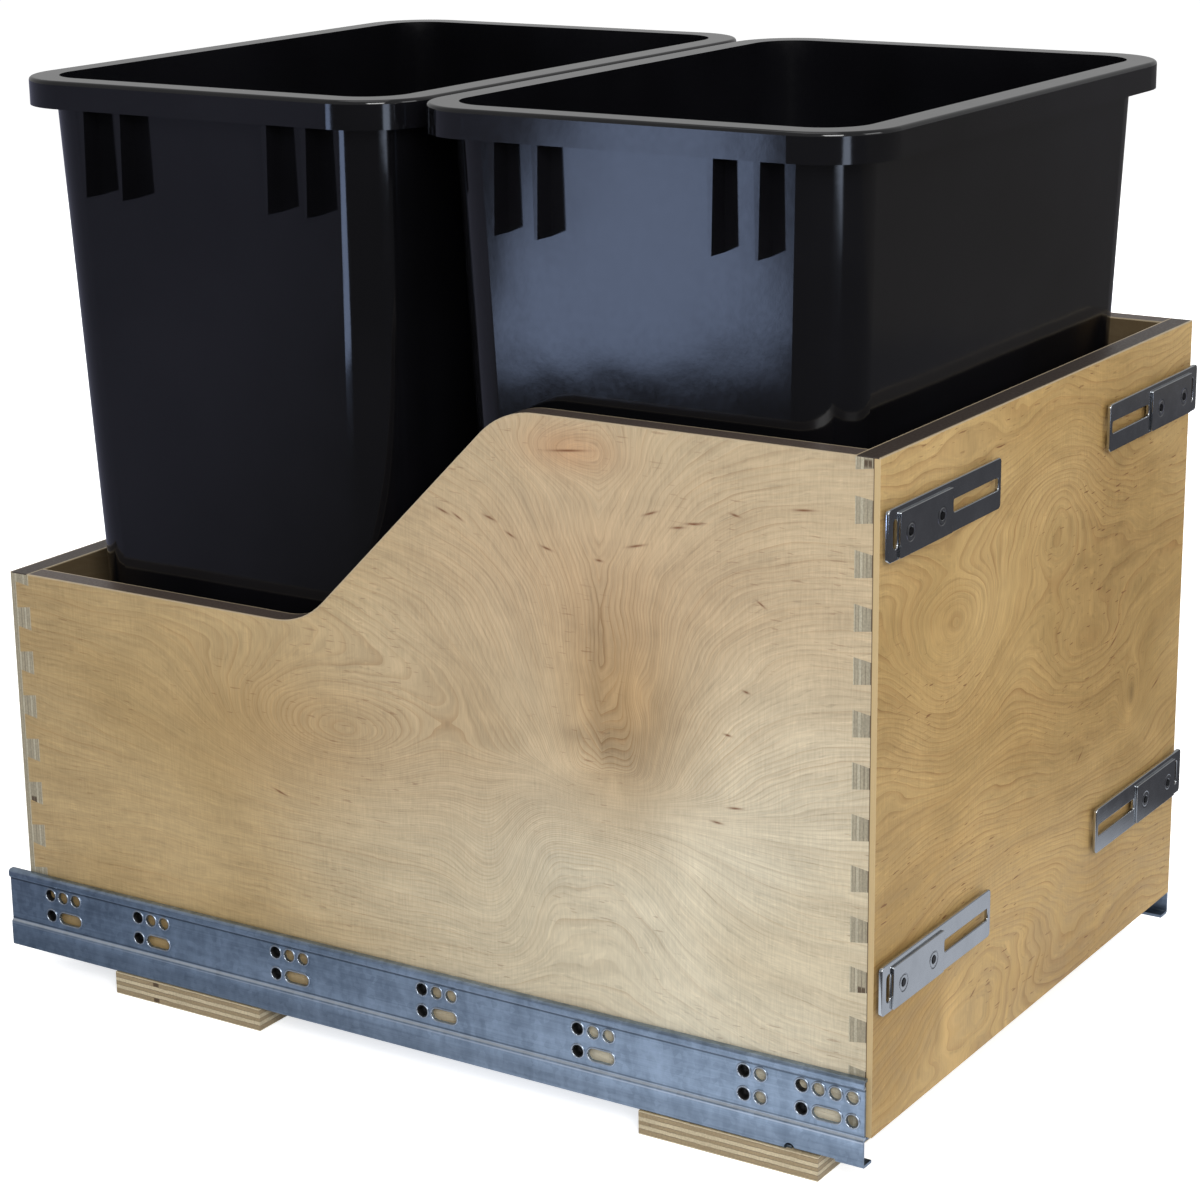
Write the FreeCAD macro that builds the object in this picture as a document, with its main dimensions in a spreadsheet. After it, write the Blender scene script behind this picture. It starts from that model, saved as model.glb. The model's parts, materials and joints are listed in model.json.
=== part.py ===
import FreeCAD, Part
import os
import re
import Sketcher

# Pull-out bin frame: a dovetailed plywood box on undermount slides, with two bins
# Millimetres. X to the right, -Y towards the cabinet door, Z up.
# Origin: centre of the four floor screw holes, on the underside of the cross boards.

doc = FreeCAD.newDocument("PullOutBinFrame")

# Driving dimensions: name, value, what it sets
SIZES = (
    ("box_width", 368.3, "outer width of the box"),
    ("box_depth", 533.4, "outer depth of the box"),
    ("front_height", 333.4, "height of the front panel and of the sides' tall part"),
    ("back_height", 206.4, "height of the back panel and of the sides' low part"),
    ("ply_thick", 12.7, "plywood of the box walls"),
    ("band_thick", 0.6, "edge band on the top edges"),
    ("scoop_start", 204.6, "front face to the top end of the slanted edge"),
    ("scoop_end", 331.6, "front face to the low end of the slanted edge"),
    ("scoop_round", 45.0, "radius at both ends of the slanted edge"),
    ("lap", 3.5, "wood left outside the dovetail sockets"),
    ("pin_pitch", 25.4, "distance between dovetail pins"),
    ("pin_first", 3.2, "centre of the lowest pin above the box's lower edge"),
    ("pin_wide", 13.4, "height of a pin at its root"),
    ("pin_narrow", 10.6, "height of a pin at the lap"),
    ("recess", 12.7, "bottom panel above the box's lower edge"),
    ("bottom_thick", 6.35, "plywood of the bottom panel"),
    ("groove_depth", 6.35, "groove for the bottom panel"),
    ("groove_play", 0.5, "bottom panel short of its groove's floor"),
    ("notch_play", 1.0, "back panel's notch beside the drawer member"),
    ("board_thick", 12.7, "plywood of the cross boards"),
    ("board_width", 101.6, "cross board, front to back"),
    ("board_spacing", 342.0, "between the cross boards' centre lines"),
    ("front_reach", 248.0, "box front to the centre of the floor screws"),
    ("floor_screw_span", 240.0, "between the floor screws, left to right"),
    ("floor_screw_hole", 5.0, "diameter of the floor screw holes"),
    ("slide_setback", 2.0, "cabinet member's front end behind the box front"),
    ("slide_length", 544.0, "cabinet member, front to back"),
    ("slide_height", 46.0, "cabinet member, top to bottom"),
    ("side_gap", 4.76, "cabinet member's outer face to the box side"),
    ("box_lift", 15.0, "box's lower edge above the cross boards"),
    ("steel", 1.5, "thickness of the slide members' sheet"),
    ("bend", 0.8, "inside radius of the members' bends"),
    ("lip_width", 4.0, "top lip of the cabinet member, turned inward"),
    ("lip_height", 5.0, "height of the bead below the top lip"),
    ("web_inset", 1.2, "web behind the bead and the lower band"),
    ("band_height", 15.5, "lower band of the cabinet member"),
    ("rail_in", 38.0, "cabinet member's outer face to the rail's centre"),
    ("ridge_width", 14.0, "raised rail of the cabinet member"),
    ("race_gap", 4.5, "space for the top rollers between two members"),
    ("race_side", 4.3, "space for the side rollers between two members"),
    ("foot", 2.6, "feet of the members that hold the cages"),
    ("middle_clear", 5.0, "middle member's feet above the cross boards"),
    ("drawer_clear", 8.5, "drawer member's feet above the cross boards"),
    ("inner_lip", 10.0, "height of the cabinet member's inner lip"),
    ("inner_play", 2.0, "drawer member to the inner lip"),
    ("front_cutback", 13.0, "rail and inner lip behind the cabinet member's front end"),
    ("toe_long", 15.0, "toe at the cabinet member's front end"),
    ("toe_foot", 9.0, "floor left under the toe"),
    ("relief_end", 40.0, "end of the relief behind the toe"),
    ("relief_deep", 2.0, "relief above the lower edge"),
    ("relief_round", 3.0, "round notch that ends the relief"),
    ("middle_start", 16.0, "middle member behind the cabinet member's front end"),
    ("middle_length", 504.0, "middle member, front to back"),
    ("member_start", 1.3, "drawer member behind the front panel"),
    ("cage_length", 240.0, "roller cage, front to back"),
    ("lower_cage_start", 140.0, "lower cage behind the cabinet member's front end"),
    ("upper_cage_start", 158.0, "upper cage behind the cabinet member's front end"),
    ("cage_thick", 2.4, "plastic of the cages"),
    ("cage_play", 0.5, "cage above the feet that hold it"),
    ("roller_play", 0.15, "roller to each race"),
    ("roller_length", 9.0, "top rollers"),
    ("side_roller_length", 5.0, "side rollers"),
    ("roller_pitch", 10.0, "between rollers of a pair"),
    ("pocket_play", 0.4, "roller in its pocket"),
    ("hole_size", 6.6, "screw holes in the web"),
    ("hole_low", 23.4, "lower hole row above the cross boards"),
    ("hole_high", 35.6, "upper hole row above the cross boards"),
    ("hole_setback", 36.0, "first grid hole behind the front end"),
    ("grid", 32.0, "pitch of the hole grid"),
    ("hole_step", 9.2, "between holes of a group"),
    ("screw_size", 3.5, "wood screws"),
    ("screw_fit", 0.05, "screw in its hole, per side"),
    ("screw_head", 7.0, "wood screw heads"),
    ("screw_head_high", 2.2, "height of the wood screw heads"),
    ("screw_bite", 11.0, "length of screw in the cross board"),
    ("member_screw_in", 50.0, "cabinet member's outer face to its screws"),
    ("member_screw_span", 60.0, "between the two screws in one board"),
    ("damper_in", 11.0, "cabinet member's outer face to the damper's axis"),
    ("damper_width", 12.0, "damper housing"),
    ("damper_high", 11.5, "damper housing"),
    ("damper_length", 118.0, "damper housing"),
    ("damper_back", 26.0, "damper housing short of the cabinet member's rear end"),
    ("damper_rod_size", 5.0, "damper rod"),
    ("damper_bore_play", 0.3, "rod in its bore, per side"),
    ("damper_rod_hold", 60.0, "rod inside the housing"),
    ("nose_size", 8.0, "damper rod's nose"),
    ("nose_long", 5.0, "damper rod's nose"),
    ("nose_gap", 0.4, "striker to the nose, nose to the housing"),
    ("striker_high", 6.0, "striker tab of the drawer member"),
    ("hook_width", 16.0, "rear hook plate"),
    ("hook_up", 15.0, "hook plate above the drawer member"),
    ("hook_down", 6.0, "hook plate below the drawer member's top"),
    ("hook_pin_up", 10.5, "hook pin above the drawer member's top"),
    ("hook_pin_size", 6.0, "hook pin"),
    ("hook_pin_long", 9.0, "hook pin"),
    ("hook_pin_play", 0.2, "hook pin in the back panel, per side"),
    ("clip_gap", 0.6, "locking clip beside the drawer member"),
    ("clip_width", 28.0, "locking clip"),
    ("clip_long", 50.0, "locking clip, front to back"),
    ("clip_high", 10.0, "locking clip"),
    ("clip_front", 1.0, "locking clip behind the front panel"),
    ("clip_round", 2.5, "locking clip's corners"),
    ("clip_screw_span", 32.0, "between the clip's screws"),
    ("clip_screw_inset", 22.0, "clip screws from the drawer member's side"),
    ("clip_screw_bite", 5.0, "clip screw in the bottom panel"),
    ("lever_thick", 4.0, "release lever"),
    ("lever_play", 0.3, "release lever below its clip"),
    ("lever_pin_size", 4.0, "release lever's pin"),
    ("lever_pin_fit", 0.08, "release lever on its pin, per side"),
    ("lever_pin_in", 16.0, "lever pin from the drawer member's side"),
    ("lever_pin_back", 26.0, "lever pin behind the clip's front end"),
    ("lever_pin_head", 7.0, "release lever's pin head"),
    ("tongue_wide", 6.0, "lever's tongue, front to back"),
    ("tongue_ahead", 8.0, "tongue ahead of the lever pin"),
    ("tongue_slot", 15.0, "slot in the drawer member for the tongue"),
    ("thumb_long", 14.0, "lever's thumb tab"),
    ("thumb_down", 6.0, "lever's thumb tab"),
    ("plate_long", 118.0, "bracket's base plate"),
    ("plate_high", 25.4, "bracket's base plate"),
    ("plate_thick", 2.0, "both bracket plates"),
    ("plate_stand", 2.2, "pad between bracket and wood"),
    ("plate_edge", 0.5, "base plate's end to the box side"),
    ("plate_round", 3.0, "base plate's outer corners"),
    ("upper_plate_up", 297.0, "upper brackets' centre above the box's lower edge"),
    ("lower_plate_up", 75.5, "lower brackets' centre above the box's lower edge"),
    ("end_slot_in", 7.0, "upright slot from the plate's outer end"),
    ("end_slot_wide", 4.5, "upright slot"),
    ("end_slot_high", 14.0, "upright slot"),
    ("screw_slot_high", 5.2, "hidden slot for the bracket's screws"),
    ("door_slot_gap", 2.5, "door slot beyond the top plate's end"),
    ("door_slot_end", 3.0, "door slot from the base plate's inner end"),
    ("door_slot_high", 6.2, "door slot"),
    ("cover_start", 10.0, "top plate from the base plate's outer end"),
    ("cover_long", 54.0, "bracket's top plate"),
    ("cover_drop", 3.0, "top plate below the base plate's upper edge"),
    ("cover_screw_in", 10.5, "first screw from the top plate's end"),
    ("cover_screw_span", 32.0, "between the bracket's screws"),
    ("cover_screw_size", 4.0, "bracket screws"),
    ("cover_screw_short", 0.6, "bracket screw short of the plate's face"),
    ("cover_head", 8.0, "bracket screw head"),
    ("cover_head_high", 2.6, "bracket screw head"),
    ("pad_edge", 6.5, "pad behind the base plate, beyond its screws"),
    ("rim_inset", 2.65, "bin rim's ends inside the box's outer faces"),
    ("bins_apart", 4.0, "between the two bins' rims"),
    ("bin_height", 456.5, "bin"),
    ("bin_wall", 2.5, "bin wall"),
    ("bin_draft", 2.0, "slope of the bin walls in degrees"),
    ("rim_ledge", 12.7, "rim outside the wall"),
    ("rim_skirt", 14.5, "height of the rim's skirt"),
    ("rim_wall", 2.2, "thickness of the rim's skirt"),
    ("rim_round", 38.0, "rim's corners seen from above"),
    ("rim_soft", 2.0, "rounding of the rim's upper edge"),
    ("bin_corner", 27.0, "bin wall's corners seen from above"),
    ("bin_foot_round", 9.0, "rounding at the bin's foot"),
    ("rib_long", 45.0, "gusset ribs below the rim"),
    ("rib_top", 4.0, "rib's thickness at the rim"),
    ("rib_bottom", 1.6, "rib's thickness at its lower end"),
    ("rib_inner", 47.5, "inner ribs from the bin's middle"),
    ("rib_outer", 72.0, "outer ribs from the bin's middle"),
)

sheet = doc.addObject("Spreadsheet::Sheet", "Sizes")
for row, (name, value, note) in enumerate(SIZES, start=1):
    sheet.set(f"B{row}", str(value))
    sheet.set(f"C{row}", note)
    sheet.setAlias(f"B{row}", name)
doc.recompute()
NAMES = {name for name, value, note in SIZES}

# Places worked out from the sizes, as expressions
BOX_LEFT = "(-box_width / 2)"
BOX_FRONT = "(-front_reach)"
BOX_REAR = "(box_depth - front_reach)"
BOX_Z = "(board_thick + box_lift)"
BOTTOM_Z = f"({BOX_Z} + recess)"
BOTTOM_TOP = f"({BOTTOM_Z} + bottom_thick)"
FACE = "(-box_width / 2 - side_gap)"
SLIDE_FRONT = f"({BOX_FRONT} + slide_setback)"
SLIDE_REAR = f"({SLIDE_FRONT} + slide_length)"
RAIL = f"({FACE} + rail_in)"
MIDDLE_TOP = f"({BOTTOM_Z} - steel - race_gap)"
RIDGE_TOP = f"({MIDDLE_TOP} - steel - race_gap)"
MIDDLE_HALF = "(ridge_width / 2 + race_side + steel)"
DRAWER_HALF = f"({MIDDLE_HALF} + race_side + steel)"
MEMBER_SIDE = f"({RAIL} + {DRAWER_HALF})"
BIN_LENGTH = "(box_width - 2 * rim_inset)"
BIN_WIDTH = "(box_depth / 2 - ply_thick - bins_apart / 2)"
BIN_Y = f"({BOX_FRONT} + ply_thick + {BIN_WIDTH} / 2)"


def full(text):
    """Write each size's name as a reference to its cell."""
    def cell(word):
        found = word.group(0)
        return f"Sizes.{found}" if found in NAMES else found
    return re.sub(r"[A-Za-z_]+", cell, str(text))


def tie(thing, prop, text):
    thing.setExpression(prop, full(text))


def tie_base(thing, low):
    for axis, text in zip("xyz", low):
        tie(thing, f"Placement.Base.{axis}", text)


def block(label, low, high):
    """A box between two corners."""
    made = doc.addObject("Part::Box", label)
    for prop, first, last in zip(("Length", "Width", "Height"), low, high):
        tie(made, prop, f"({last}) - ({first})")
    tie_base(made, low)
    return made


def turn_to(axis):
    ways = {"x": FreeCAD.Vector(1, 0, 0), "y": FreeCAD.Vector(0, 1, 0), "z": FreeCAD.Vector(0, 0, 1)}
    return FreeCAD.Rotation(FreeCAD.Vector(0, 0, 1), ways[axis])


def rod(label, start, axis, diameter, length):
    """A cylinder from its start centre along +X, +Y or +Z."""
    made = doc.addObject("Part::Cylinder", label)
    made.Placement = FreeCAD.Placement(FreeCAD.Vector(), turn_to(axis))
    tie(made, "Radius", f"({diameter}) / 2")
    tie(made, "Height", length)
    tie_base(made, start)
    return made


def shank(label, start, axis, diameter, length):
    """A screw's shank, eight-sided, inside a round hole of its own."""
    made = doc.addObject("Part::Prism", label)
    made.Polygon = 8
    made.Placement = FreeCAD.Placement(FreeCAD.Vector(), turn_to(axis))
    tie(made, "Circumradius", f"({diameter}) / 2")
    tie(made, "Height", length)
    tie_base(made, start)
    return made


def cone(label, start, axis, first, last, length):
    """A cone from its start centre along +X, +Y or +Z, by its two diameters."""
    made = doc.addObject("Part::Cone", label)
    made.Placement = FreeCAD.Placement(FreeCAD.Vector(), turn_to(axis))
    tie(made, "Radius1", f"({first}) / 2")
    tie(made, "Radius2", f"({last}) / 2")
    tie(made, "Height", length)
    tie_base(made, start)
    return made


def fuse(label, pieces):
    if len(pieces) == 1:
        pieces[0].Label = label
        return pieces[0]
    made = doc.addObject("Part::MultiFuse", label)
    made.Shapes = pieces
    return made


def cut(label, base, tools):
    made = doc.addObject("Part::Cut", label)
    made.Base = base
    made.Tool = fuse(f"{label}_tools", tools) if len(tools) > 1 else tools[0]
    return made


def group(label, pieces):
    """Separate solids that share one node."""
    made = doc.addObject("Part::Compound", label)
    made.Links = pieces
    return made


def mirror(label, source, axis="x", base="0"):
    """The same piece on the other side of a plane."""
    made = doc.addObject("Part::Mirroring", label)
    made.Source = source
    made.Normal = FreeCAD.Vector(axis == "x", axis == "y", axis == "z")
    tie(made, f"Base.{axis}", base)
    return made


def origin_part(body, role):
    return next(part for part in body.Origin.OriginFeatures if part.Role == role)


def outline(body, name, plane, corners, offset="0"):
    """A closed sketch through corners, each held by its own two distances."""
    sketch = body.newObject("Sketcher::SketchObject", name)
    sketch.AttachmentSupport = [(origin_part(body, f"{plane}_Plane"), "")]
    sketch.MapMode = "FlatFace"
    tie(sketch, "AttachmentOffset.Base.z", offset)
    count = len(corners)
    turn = FreeCAD.Rotation(FreeCAD.Vector(0, 0, 1), 360.0 / count)
    spokes = [FreeCAD.Vector(50, 0, 0)]
    for _ in range(count - 1):
        spokes.append(turn.multVec(spokes[-1]))
    for index in range(count):
        line = Part.LineSegment(spokes[index], spokes[(index + 1) % count])
        sketch.addGeometry(line, False)
    for index in range(count):
        after = (index + 1) % count
        sketch.addConstraint(Sketcher.Constraint("Coincident", index, 2, after, 1))
    for index, corner in enumerate(corners):
        for kind, text in zip(("DistanceX", "DistanceY"), corner):
            start = spokes[index].x if kind == "DistanceX" else spokes[index].y
            held = sketch.addConstraint(Sketcher.Constraint(kind, -1, 1, index, 1, start))
            tie(sketch, f"Constraints[{held}]", text)
    return sketch


def pad(body, name, sketch, length, toward_plus=True, middle=False):
    made = body.newObject("PartDesign::Pad", name)
    made.Profile = sketch
    tie(made, "Length", length)
    made.Midplane = middle
    along_normal = sketch.AttachmentSupport[0][0].Role != "XZ_Plane"
    made.Reversed = toward_plus != along_normal
    return made


def long_edges(shape, corner, axis):
    """Edges along an axis that stand on a corner of the outline."""
    found = []
    for index, edge in enumerate(shape.Edges, start=1):
        if len(edge.Vertexes) != 2:
            continue
        run = edge.Vertexes[1].Point - edge.Vertexes[0].Point
        across = {"x": (run.y, run.z), "y": (run.x, run.z), "z": (run.x, run.y)}[axis]
        point = edge.Vertexes[0].Point
        place = {"x": (point.y, point.z), "y": (point.x, point.z), "z": (point.x, point.y)}[axis]
        straight = max(abs(across[0]), abs(across[1])) < 1e-4
        near = abs(place[0] - corner.x) + abs(place[1] - corner.y) < 1e-3
        if straight and near:
            found.append(f"Edge{index}")
    return found


def round_corners(body, name, feature, sketch, axis, radii):
    """Round the pad's long edges; radii maps an outline corner to its radius."""
    for radius in sorted(set(radii.values())):
        doc.recompute()
        edges = []
        for index, text in radii.items():
            if text == radius:
                edges += long_edges(feature.Shape, sketch.getPoint(index, 1), axis)
        made = body.newObject("PartDesign::Fillet", name)
        made.Base = (feature, edges)
        tie(made, "Radius", radius)
        feature = made
    body.Tip = feature
    return feature


def new_body(label):
    return doc.addObject("PartDesign::Body", label)


def profile(label, plane, corners, start, length, radii=None):
    """A body from one outline, padded from start along the plane's axis."""
    body = new_body(label)
    axis = {"XZ": "y", "YZ": "x", "XY": "z"}[plane]
    offset = f"-({start})" if plane == "XZ" else start
    sketch = outline(body, f"{label}_outline", plane, corners, offset)
    feature = pad(body, f"{label}_pad", sketch, length)
    if radii:
        round_corners(body, f"{label}_round", feature, sketch, axis, radii)
    return body


LEFT_OF = {"right": (0, 1), "up": (-1, 0), "left": (0, -1), "down": (1, 0)}
TURNS_LEFT = (("right", "up"), ("up", "left"), ("left", "down"), ("down", "right"))


def strip(label, start, moves, thick, begin, length, bend):
    """A bent sheet seen from its end: a path along one face, metal on its left."""
    across, up = start
    path = [start]
    ways = [way for way, reach in moves]
    for way, reach in moves:
        if way in ("left", "right"):
            across = reach
        else:
            up = reach
        path.append((across, up))
    other = []
    for index, corner in enumerate(path):
        near = ways[max(index - 1, 0):index + 1]
        shift = [sum(LEFT_OF[way][part] for way in near) for part in (0, 1)]
        other.append(tuple(f"{text} + {step} * {thick}" for text, step in zip(corner, shift)))
    radii = {}
    last = 2 * len(path) - 1
    for index in range(1, len(ways)):
        inside_is_other = (ways[index - 1], ways[index]) in TURNS_LEFT
        outer = f"{bend} + {thick}"
        radii[index] = outer if inside_is_other else bend
        radii[last - index] = bend if inside_is_other else outer
    return profile(label, "XZ", path + other[::-1], begin, length, radii)


def soften(body, label, feature, radius, edge_round=None, at_top=True):
    """Round a block's upright edges, then the edges round its top or its bottom."""
    doc.recompute()
    rising = []
    for index, edge in enumerate(feature.Shape.Edges, start=1):
        ends = [point.Point.z for point in edge.Vertexes]
        if max(ends) - min(ends) > 1e-3:
            rising.append(f"Edge{index}")
    corner_round = body.newObject("PartDesign::Fillet", f"{label}_corners")
    corner_round.Base = (feature, rising)
    tie(corner_round, "Radius", radius)
    body.Tip = corner_round
    if edge_round:
        doc.recompute()
        heights = [point.Point.z for point in corner_round.Shape.Vertexes]
        level = max(heights) if at_top else min(heights)
        around = [
            f"Edge{index}"
            for index, edge in enumerate(corner_round.Shape.Edges, start=1)
            if all(abs(point.Point.z - level) < 1e-3 for point in edge.Vertexes)
        ]
        soft = body.newObject("PartDesign::Fillet", f"{label}_soft")
        soft.Base = (corner_round, around)
        tie(soft, "Radius", edge_round)
        body.Tip = soft
    return body


def rounded_block(label, low, high, radius, edge_round=None, at_top=True):
    """A block with rounded upright corners, and a rounded rim if asked."""
    body = new_body(label)
    corners = ((low[0], low[1]), (high[0], low[1]), (high[0], high[1]), (low[0], high[1]))
    sketch = outline(body, f"{label}_outline", "XY", corners, low[2])
    feature = pad(body, f"{label}_pad", sketch, f"({high[2]}) - ({low[2]})")
    return soften(body, label, feature, radius, edge_round, at_top)


# Cross boards
def cross_board(label, middle):
    """A plywood board under both slides, with holes for floor and member screws."""
    board = block(
        f"{label}_blank",
        (FACE, f"{middle} - board_width / 2", "0"),
        (f"-{FACE}", f"{middle} + board_width / 2", "board_thick"),
    )
    holes = []
    for side in ("", "-"):
        place = (f"{side}(floor_screw_span / 2)", middle, "-1")
        holes.append(rod(f"{label}_floor_hole", place, "z", "floor_screw_hole", "board_thick + 2"))
        for end in ("-", "+"):
            place = (
                f"{side}({FACE} + member_screw_in)",
                f"{middle} {end} member_screw_span / 2",
                "board_thick - screw_bite - 0.3",
            )
            wide = "screw_size + 2 * screw_fit"
            holes.append(rod(f"{label}_screw_hole", place, "z", wide, "screw_bite + 2"))
    return cut(label, board, holes)


FRONT_BOARD = "(-board_spacing / 2)"
REAR_BOARD = "(board_spacing / 2)"
front_cross_board = cross_board("front_cross_board", FRONT_BOARD)
rear_cross_board = cross_board("rear_cross_board", REAR_BOARD)


# Cabinet member: one sheet with top lip, web, lower band, floor, raised rail and inner lip
def web_hole(column, row):
    place = (f"{FACE} - 1", column, f"board_thick + {row}")
    return rod("web_hole", place, "x", "hole_size", "web_inset + steel + 2")


def web_slot(first, last, row):
    """Two round ends and the straight part between them."""
    low = (f"{FACE} - 1", first, f"board_thick + {row} - hole_size / 2")
    high = (f"{FACE} + web_inset + steel + 1", last, f"board_thick + {row} + hole_size / 2")
    return [web_hole(first, row), web_hole(last, row), block("web_slot", low, high)]


def web_holes():
    """Groups on the grid: (grid steps from the first hole, holes in the upper row)."""
    holes = []
    for steps, count in ((0, 4), (1, 2), (4, 3), (7, 3), (10, 3), (13, 3), (15, 3)):
        columns = [
            f"{BOX_FRONT} + hole_setback + {steps} * grid - {step} * hole_step" for step in range(count)
        ]
        holes += [web_hole(column, "hole_high") for column in columns]
        if count == 2:
            holes += [web_hole(column, "hole_low") for column in columns]
        elif count == 3:
            holes.append(web_hole(columns[0], "hole_low"))
            holes += web_slot(columns[2], columns[1], "hole_low")
        else:
            holes += [web_hole(columns[0], "hole_low"), web_hole(columns[3], "hole_low")]
            holes += web_slot(columns[2], columns[1], "hole_low")
    return holes


def member_screw_places():
    places = []
    for middle in (FRONT_BOARD, REAR_BOARD):
        for end in ("-", "+"):
            places.append((f"{FACE} + member_screw_in", f"{middle} {end} member_screw_span / 2"))
    return places


cabinet_sheet = strip(
    "cabinet_sheet",
    (f"{FACE} + lip_width", "board_thick + slide_height"),
    (
        ("left", FACE),
        ("down", "board_thick + slide_height - lip_height"),
        ("right", f"{FACE} + web_inset"),
        ("down", "board_thick + band_height"),
        ("left", FACE),
        ("down", "board_thick"),
        ("right", f"{RAIL} - ridge_width / 2 + steel"),
        ("up", f"{RIDGE_TOP} - steel"),
        ("right", f"{RAIL} + ridge_width / 2 - steel"),
        ("down", "board_thick"),
        ("right", f"{MEMBER_SIDE} + inner_play + steel"),
        ("up", "board_thick + inner_lip"),
    ),
    "steel",
    SLIDE_FRONT,
    "slide_length",
    "0.4",
)
floor_holes = [
    rod("floor_hole", (across, along, "board_thick - 1"), "z", "screw_size + 2 * screw_fit", "steel + 2")
    for across, along in member_screw_places()
]


def front_cuts():
    """The rail set back, a toe with a foot, and a relief that ends in a round notch."""
    inner = f"{MEMBER_SIDE} + inner_play + 2 * steel"
    cutback = block(
        "cutback",
        (f"{RAIL} - ridge_width / 2 - 2", f"{SLIDE_FRONT} - 1", "board_thick - 1"),
        (inner, f"{SLIDE_FRONT} + front_cutback", f"{BOX_Z} + 1"),
    )
    beside_foot = block(
        "beside_foot",
        (f"{FACE} + toe_foot", f"{SLIDE_FRONT} - 1", "board_thick - 1"),
        (f"{RAIL} - ridge_width / 2 - 1", f"{SLIDE_FRONT} + front_cutback", "board_thick + steel + 1"),
    )
    relief = block(
        "relief",
        (f"{FACE} - 1", f"{SLIDE_FRONT} + toe_long", "board_thick - 1"),
        (f"{FACE} + toe_foot", f"{SLIDE_FRONT} + relief_end", "board_thick + relief_deep"),
    )
    notch = rod(
        "notch", (f"{FACE} - 1", f"{SLIDE_FRONT} + relief_end", "board_thick + relief_deep / 2"), "x",
        "2 * relief_round", "steel + 2",
    )
    return [cutback, beside_foot, relief, notch]


left_cabinet_member = cut("left_cabinet_member", cabinet_sheet, web_holes() + floor_holes + front_cuts())
right_cabinet_member = mirror("right_cabinet_member", left_cabinet_member)


# Screws that hold the cabinet members to the cross boards
def member_screws():
    screws = []
    for across, along in member_screw_places():
        top = "board_thick + steel"
        start = (across, along, "board_thick - screw_bite")
        body = shank("member_shank", start, "z", "screw_size", "screw_bite + steel")
        head = cone(
            "member_head",
            (across, along, top),
            "z",
            "screw_head",
            "screw_head * 0.6",
            "screw_head_high",
        )
        screws.append(fuse("left_member_screw", [body, head]))
    screws += [mirror("right_member_screw", screw) for screw in screws]
    return group("member_screws", screws)


member_screw_set = member_screws()

# Middle member: an inverted channel with feet, around the raised rail
left_middle_member = strip(
    "left_middle_member",
    (f"{RAIL} - {MIDDLE_HALF} + steel + foot", "board_thick + middle_clear + steel"),
    (
        ("left", f"{RAIL} - {MIDDLE_HALF} + steel"),
        ("up", f"{MIDDLE_TOP} - steel"),
        ("right", f"{RAIL} + {MIDDLE_HALF} - steel"),
        ("down", "board_thick + middle_clear + steel"),
        ("left", f"{RAIL} + {MIDDLE_HALF} - steel - foot"),
    ),
    "steel",
    f"{BOX_FRONT} + middle_start",
    "middle_length",
    "0.4",
)
right_middle_member = mirror("right_middle_member", left_middle_member)

# Drawer member: an inverted channel around the middle member, with a striker and a tongue slot
drawer_channel = strip(
    "drawer_channel",
    (f"{RAIL} - {DRAWER_HALF} + steel + foot", "board_thick + drawer_clear + steel"),
    (
        ("left", f"{RAIL} - {DRAWER_HALF} + steel"),
        ("up", f"{BOTTOM_Z} - steel"),
        ("right", f"{RAIL} + {DRAWER_HALF} - steel"),
        ("down", "board_thick + drawer_clear + steel"),
        ("left", f"{RAIL} + {DRAWER_HALF} - steel - foot"),
    ),
    "steel",
    f"{BOX_FRONT} + ply_thick + member_start",
    "box_depth - ply_thick - member_start",
    "0.4",
)
DAMPER_FRONT = f"({SLIDE_REAR} - damper_back - damper_length)"
DAMPER_X = f"({FACE} + damper_in)"
DAMPER_Z = "(board_thick + steel + damper_high / 2)"
NOSE_FRONT = f"({DAMPER_FRONT} - nose_gap - nose_long)"
striker = block(
    "striker",
    (
        f"{DAMPER_X} - nose_size / 4",
        f"{NOSE_FRONT} - nose_gap - steel",
        f"{DAMPER_Z} - striker_high / 2",
    ),
    (
        f"{RAIL} - {DRAWER_HALF} + steel / 2",
        f"{NOSE_FRONT} - nose_gap",
        f"{DAMPER_Z} + striker_high / 2",
    ),
)
CLIP_FRONT = f"({BOX_FRONT} + ply_thick + clip_front)"
LEVER_X = f"({MEMBER_SIDE} + lever_pin_in)"
LEVER_Y = f"({CLIP_FRONT} + lever_pin_back)"
LEVER_TOP = f"({BOTTOM_Z} - clip_high - lever_play)"
TONGUE_Y = f"({LEVER_Y} - tongue_ahead)"
tongue_slot = block(
    "tongue_slot",
    (
        f"{MEMBER_SIDE} - 2 * steel",
        f"{TONGUE_Y} - tongue_slot / 2 - 2",
        f"{LEVER_TOP} - lever_thick - 1",
    ),
    (f"{MEMBER_SIDE} + 1", f"{TONGUE_Y} + tongue_slot / 2 - 2", f"{LEVER_TOP} + 1"),
)
left_drawer_member = cut(
    "left_drawer_member", fuse("channel_and_striker", [drawer_channel, striker]), [tongue_slot],
)
right_drawer_member = mirror("right_drawer_member", left_drawer_member)


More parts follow.
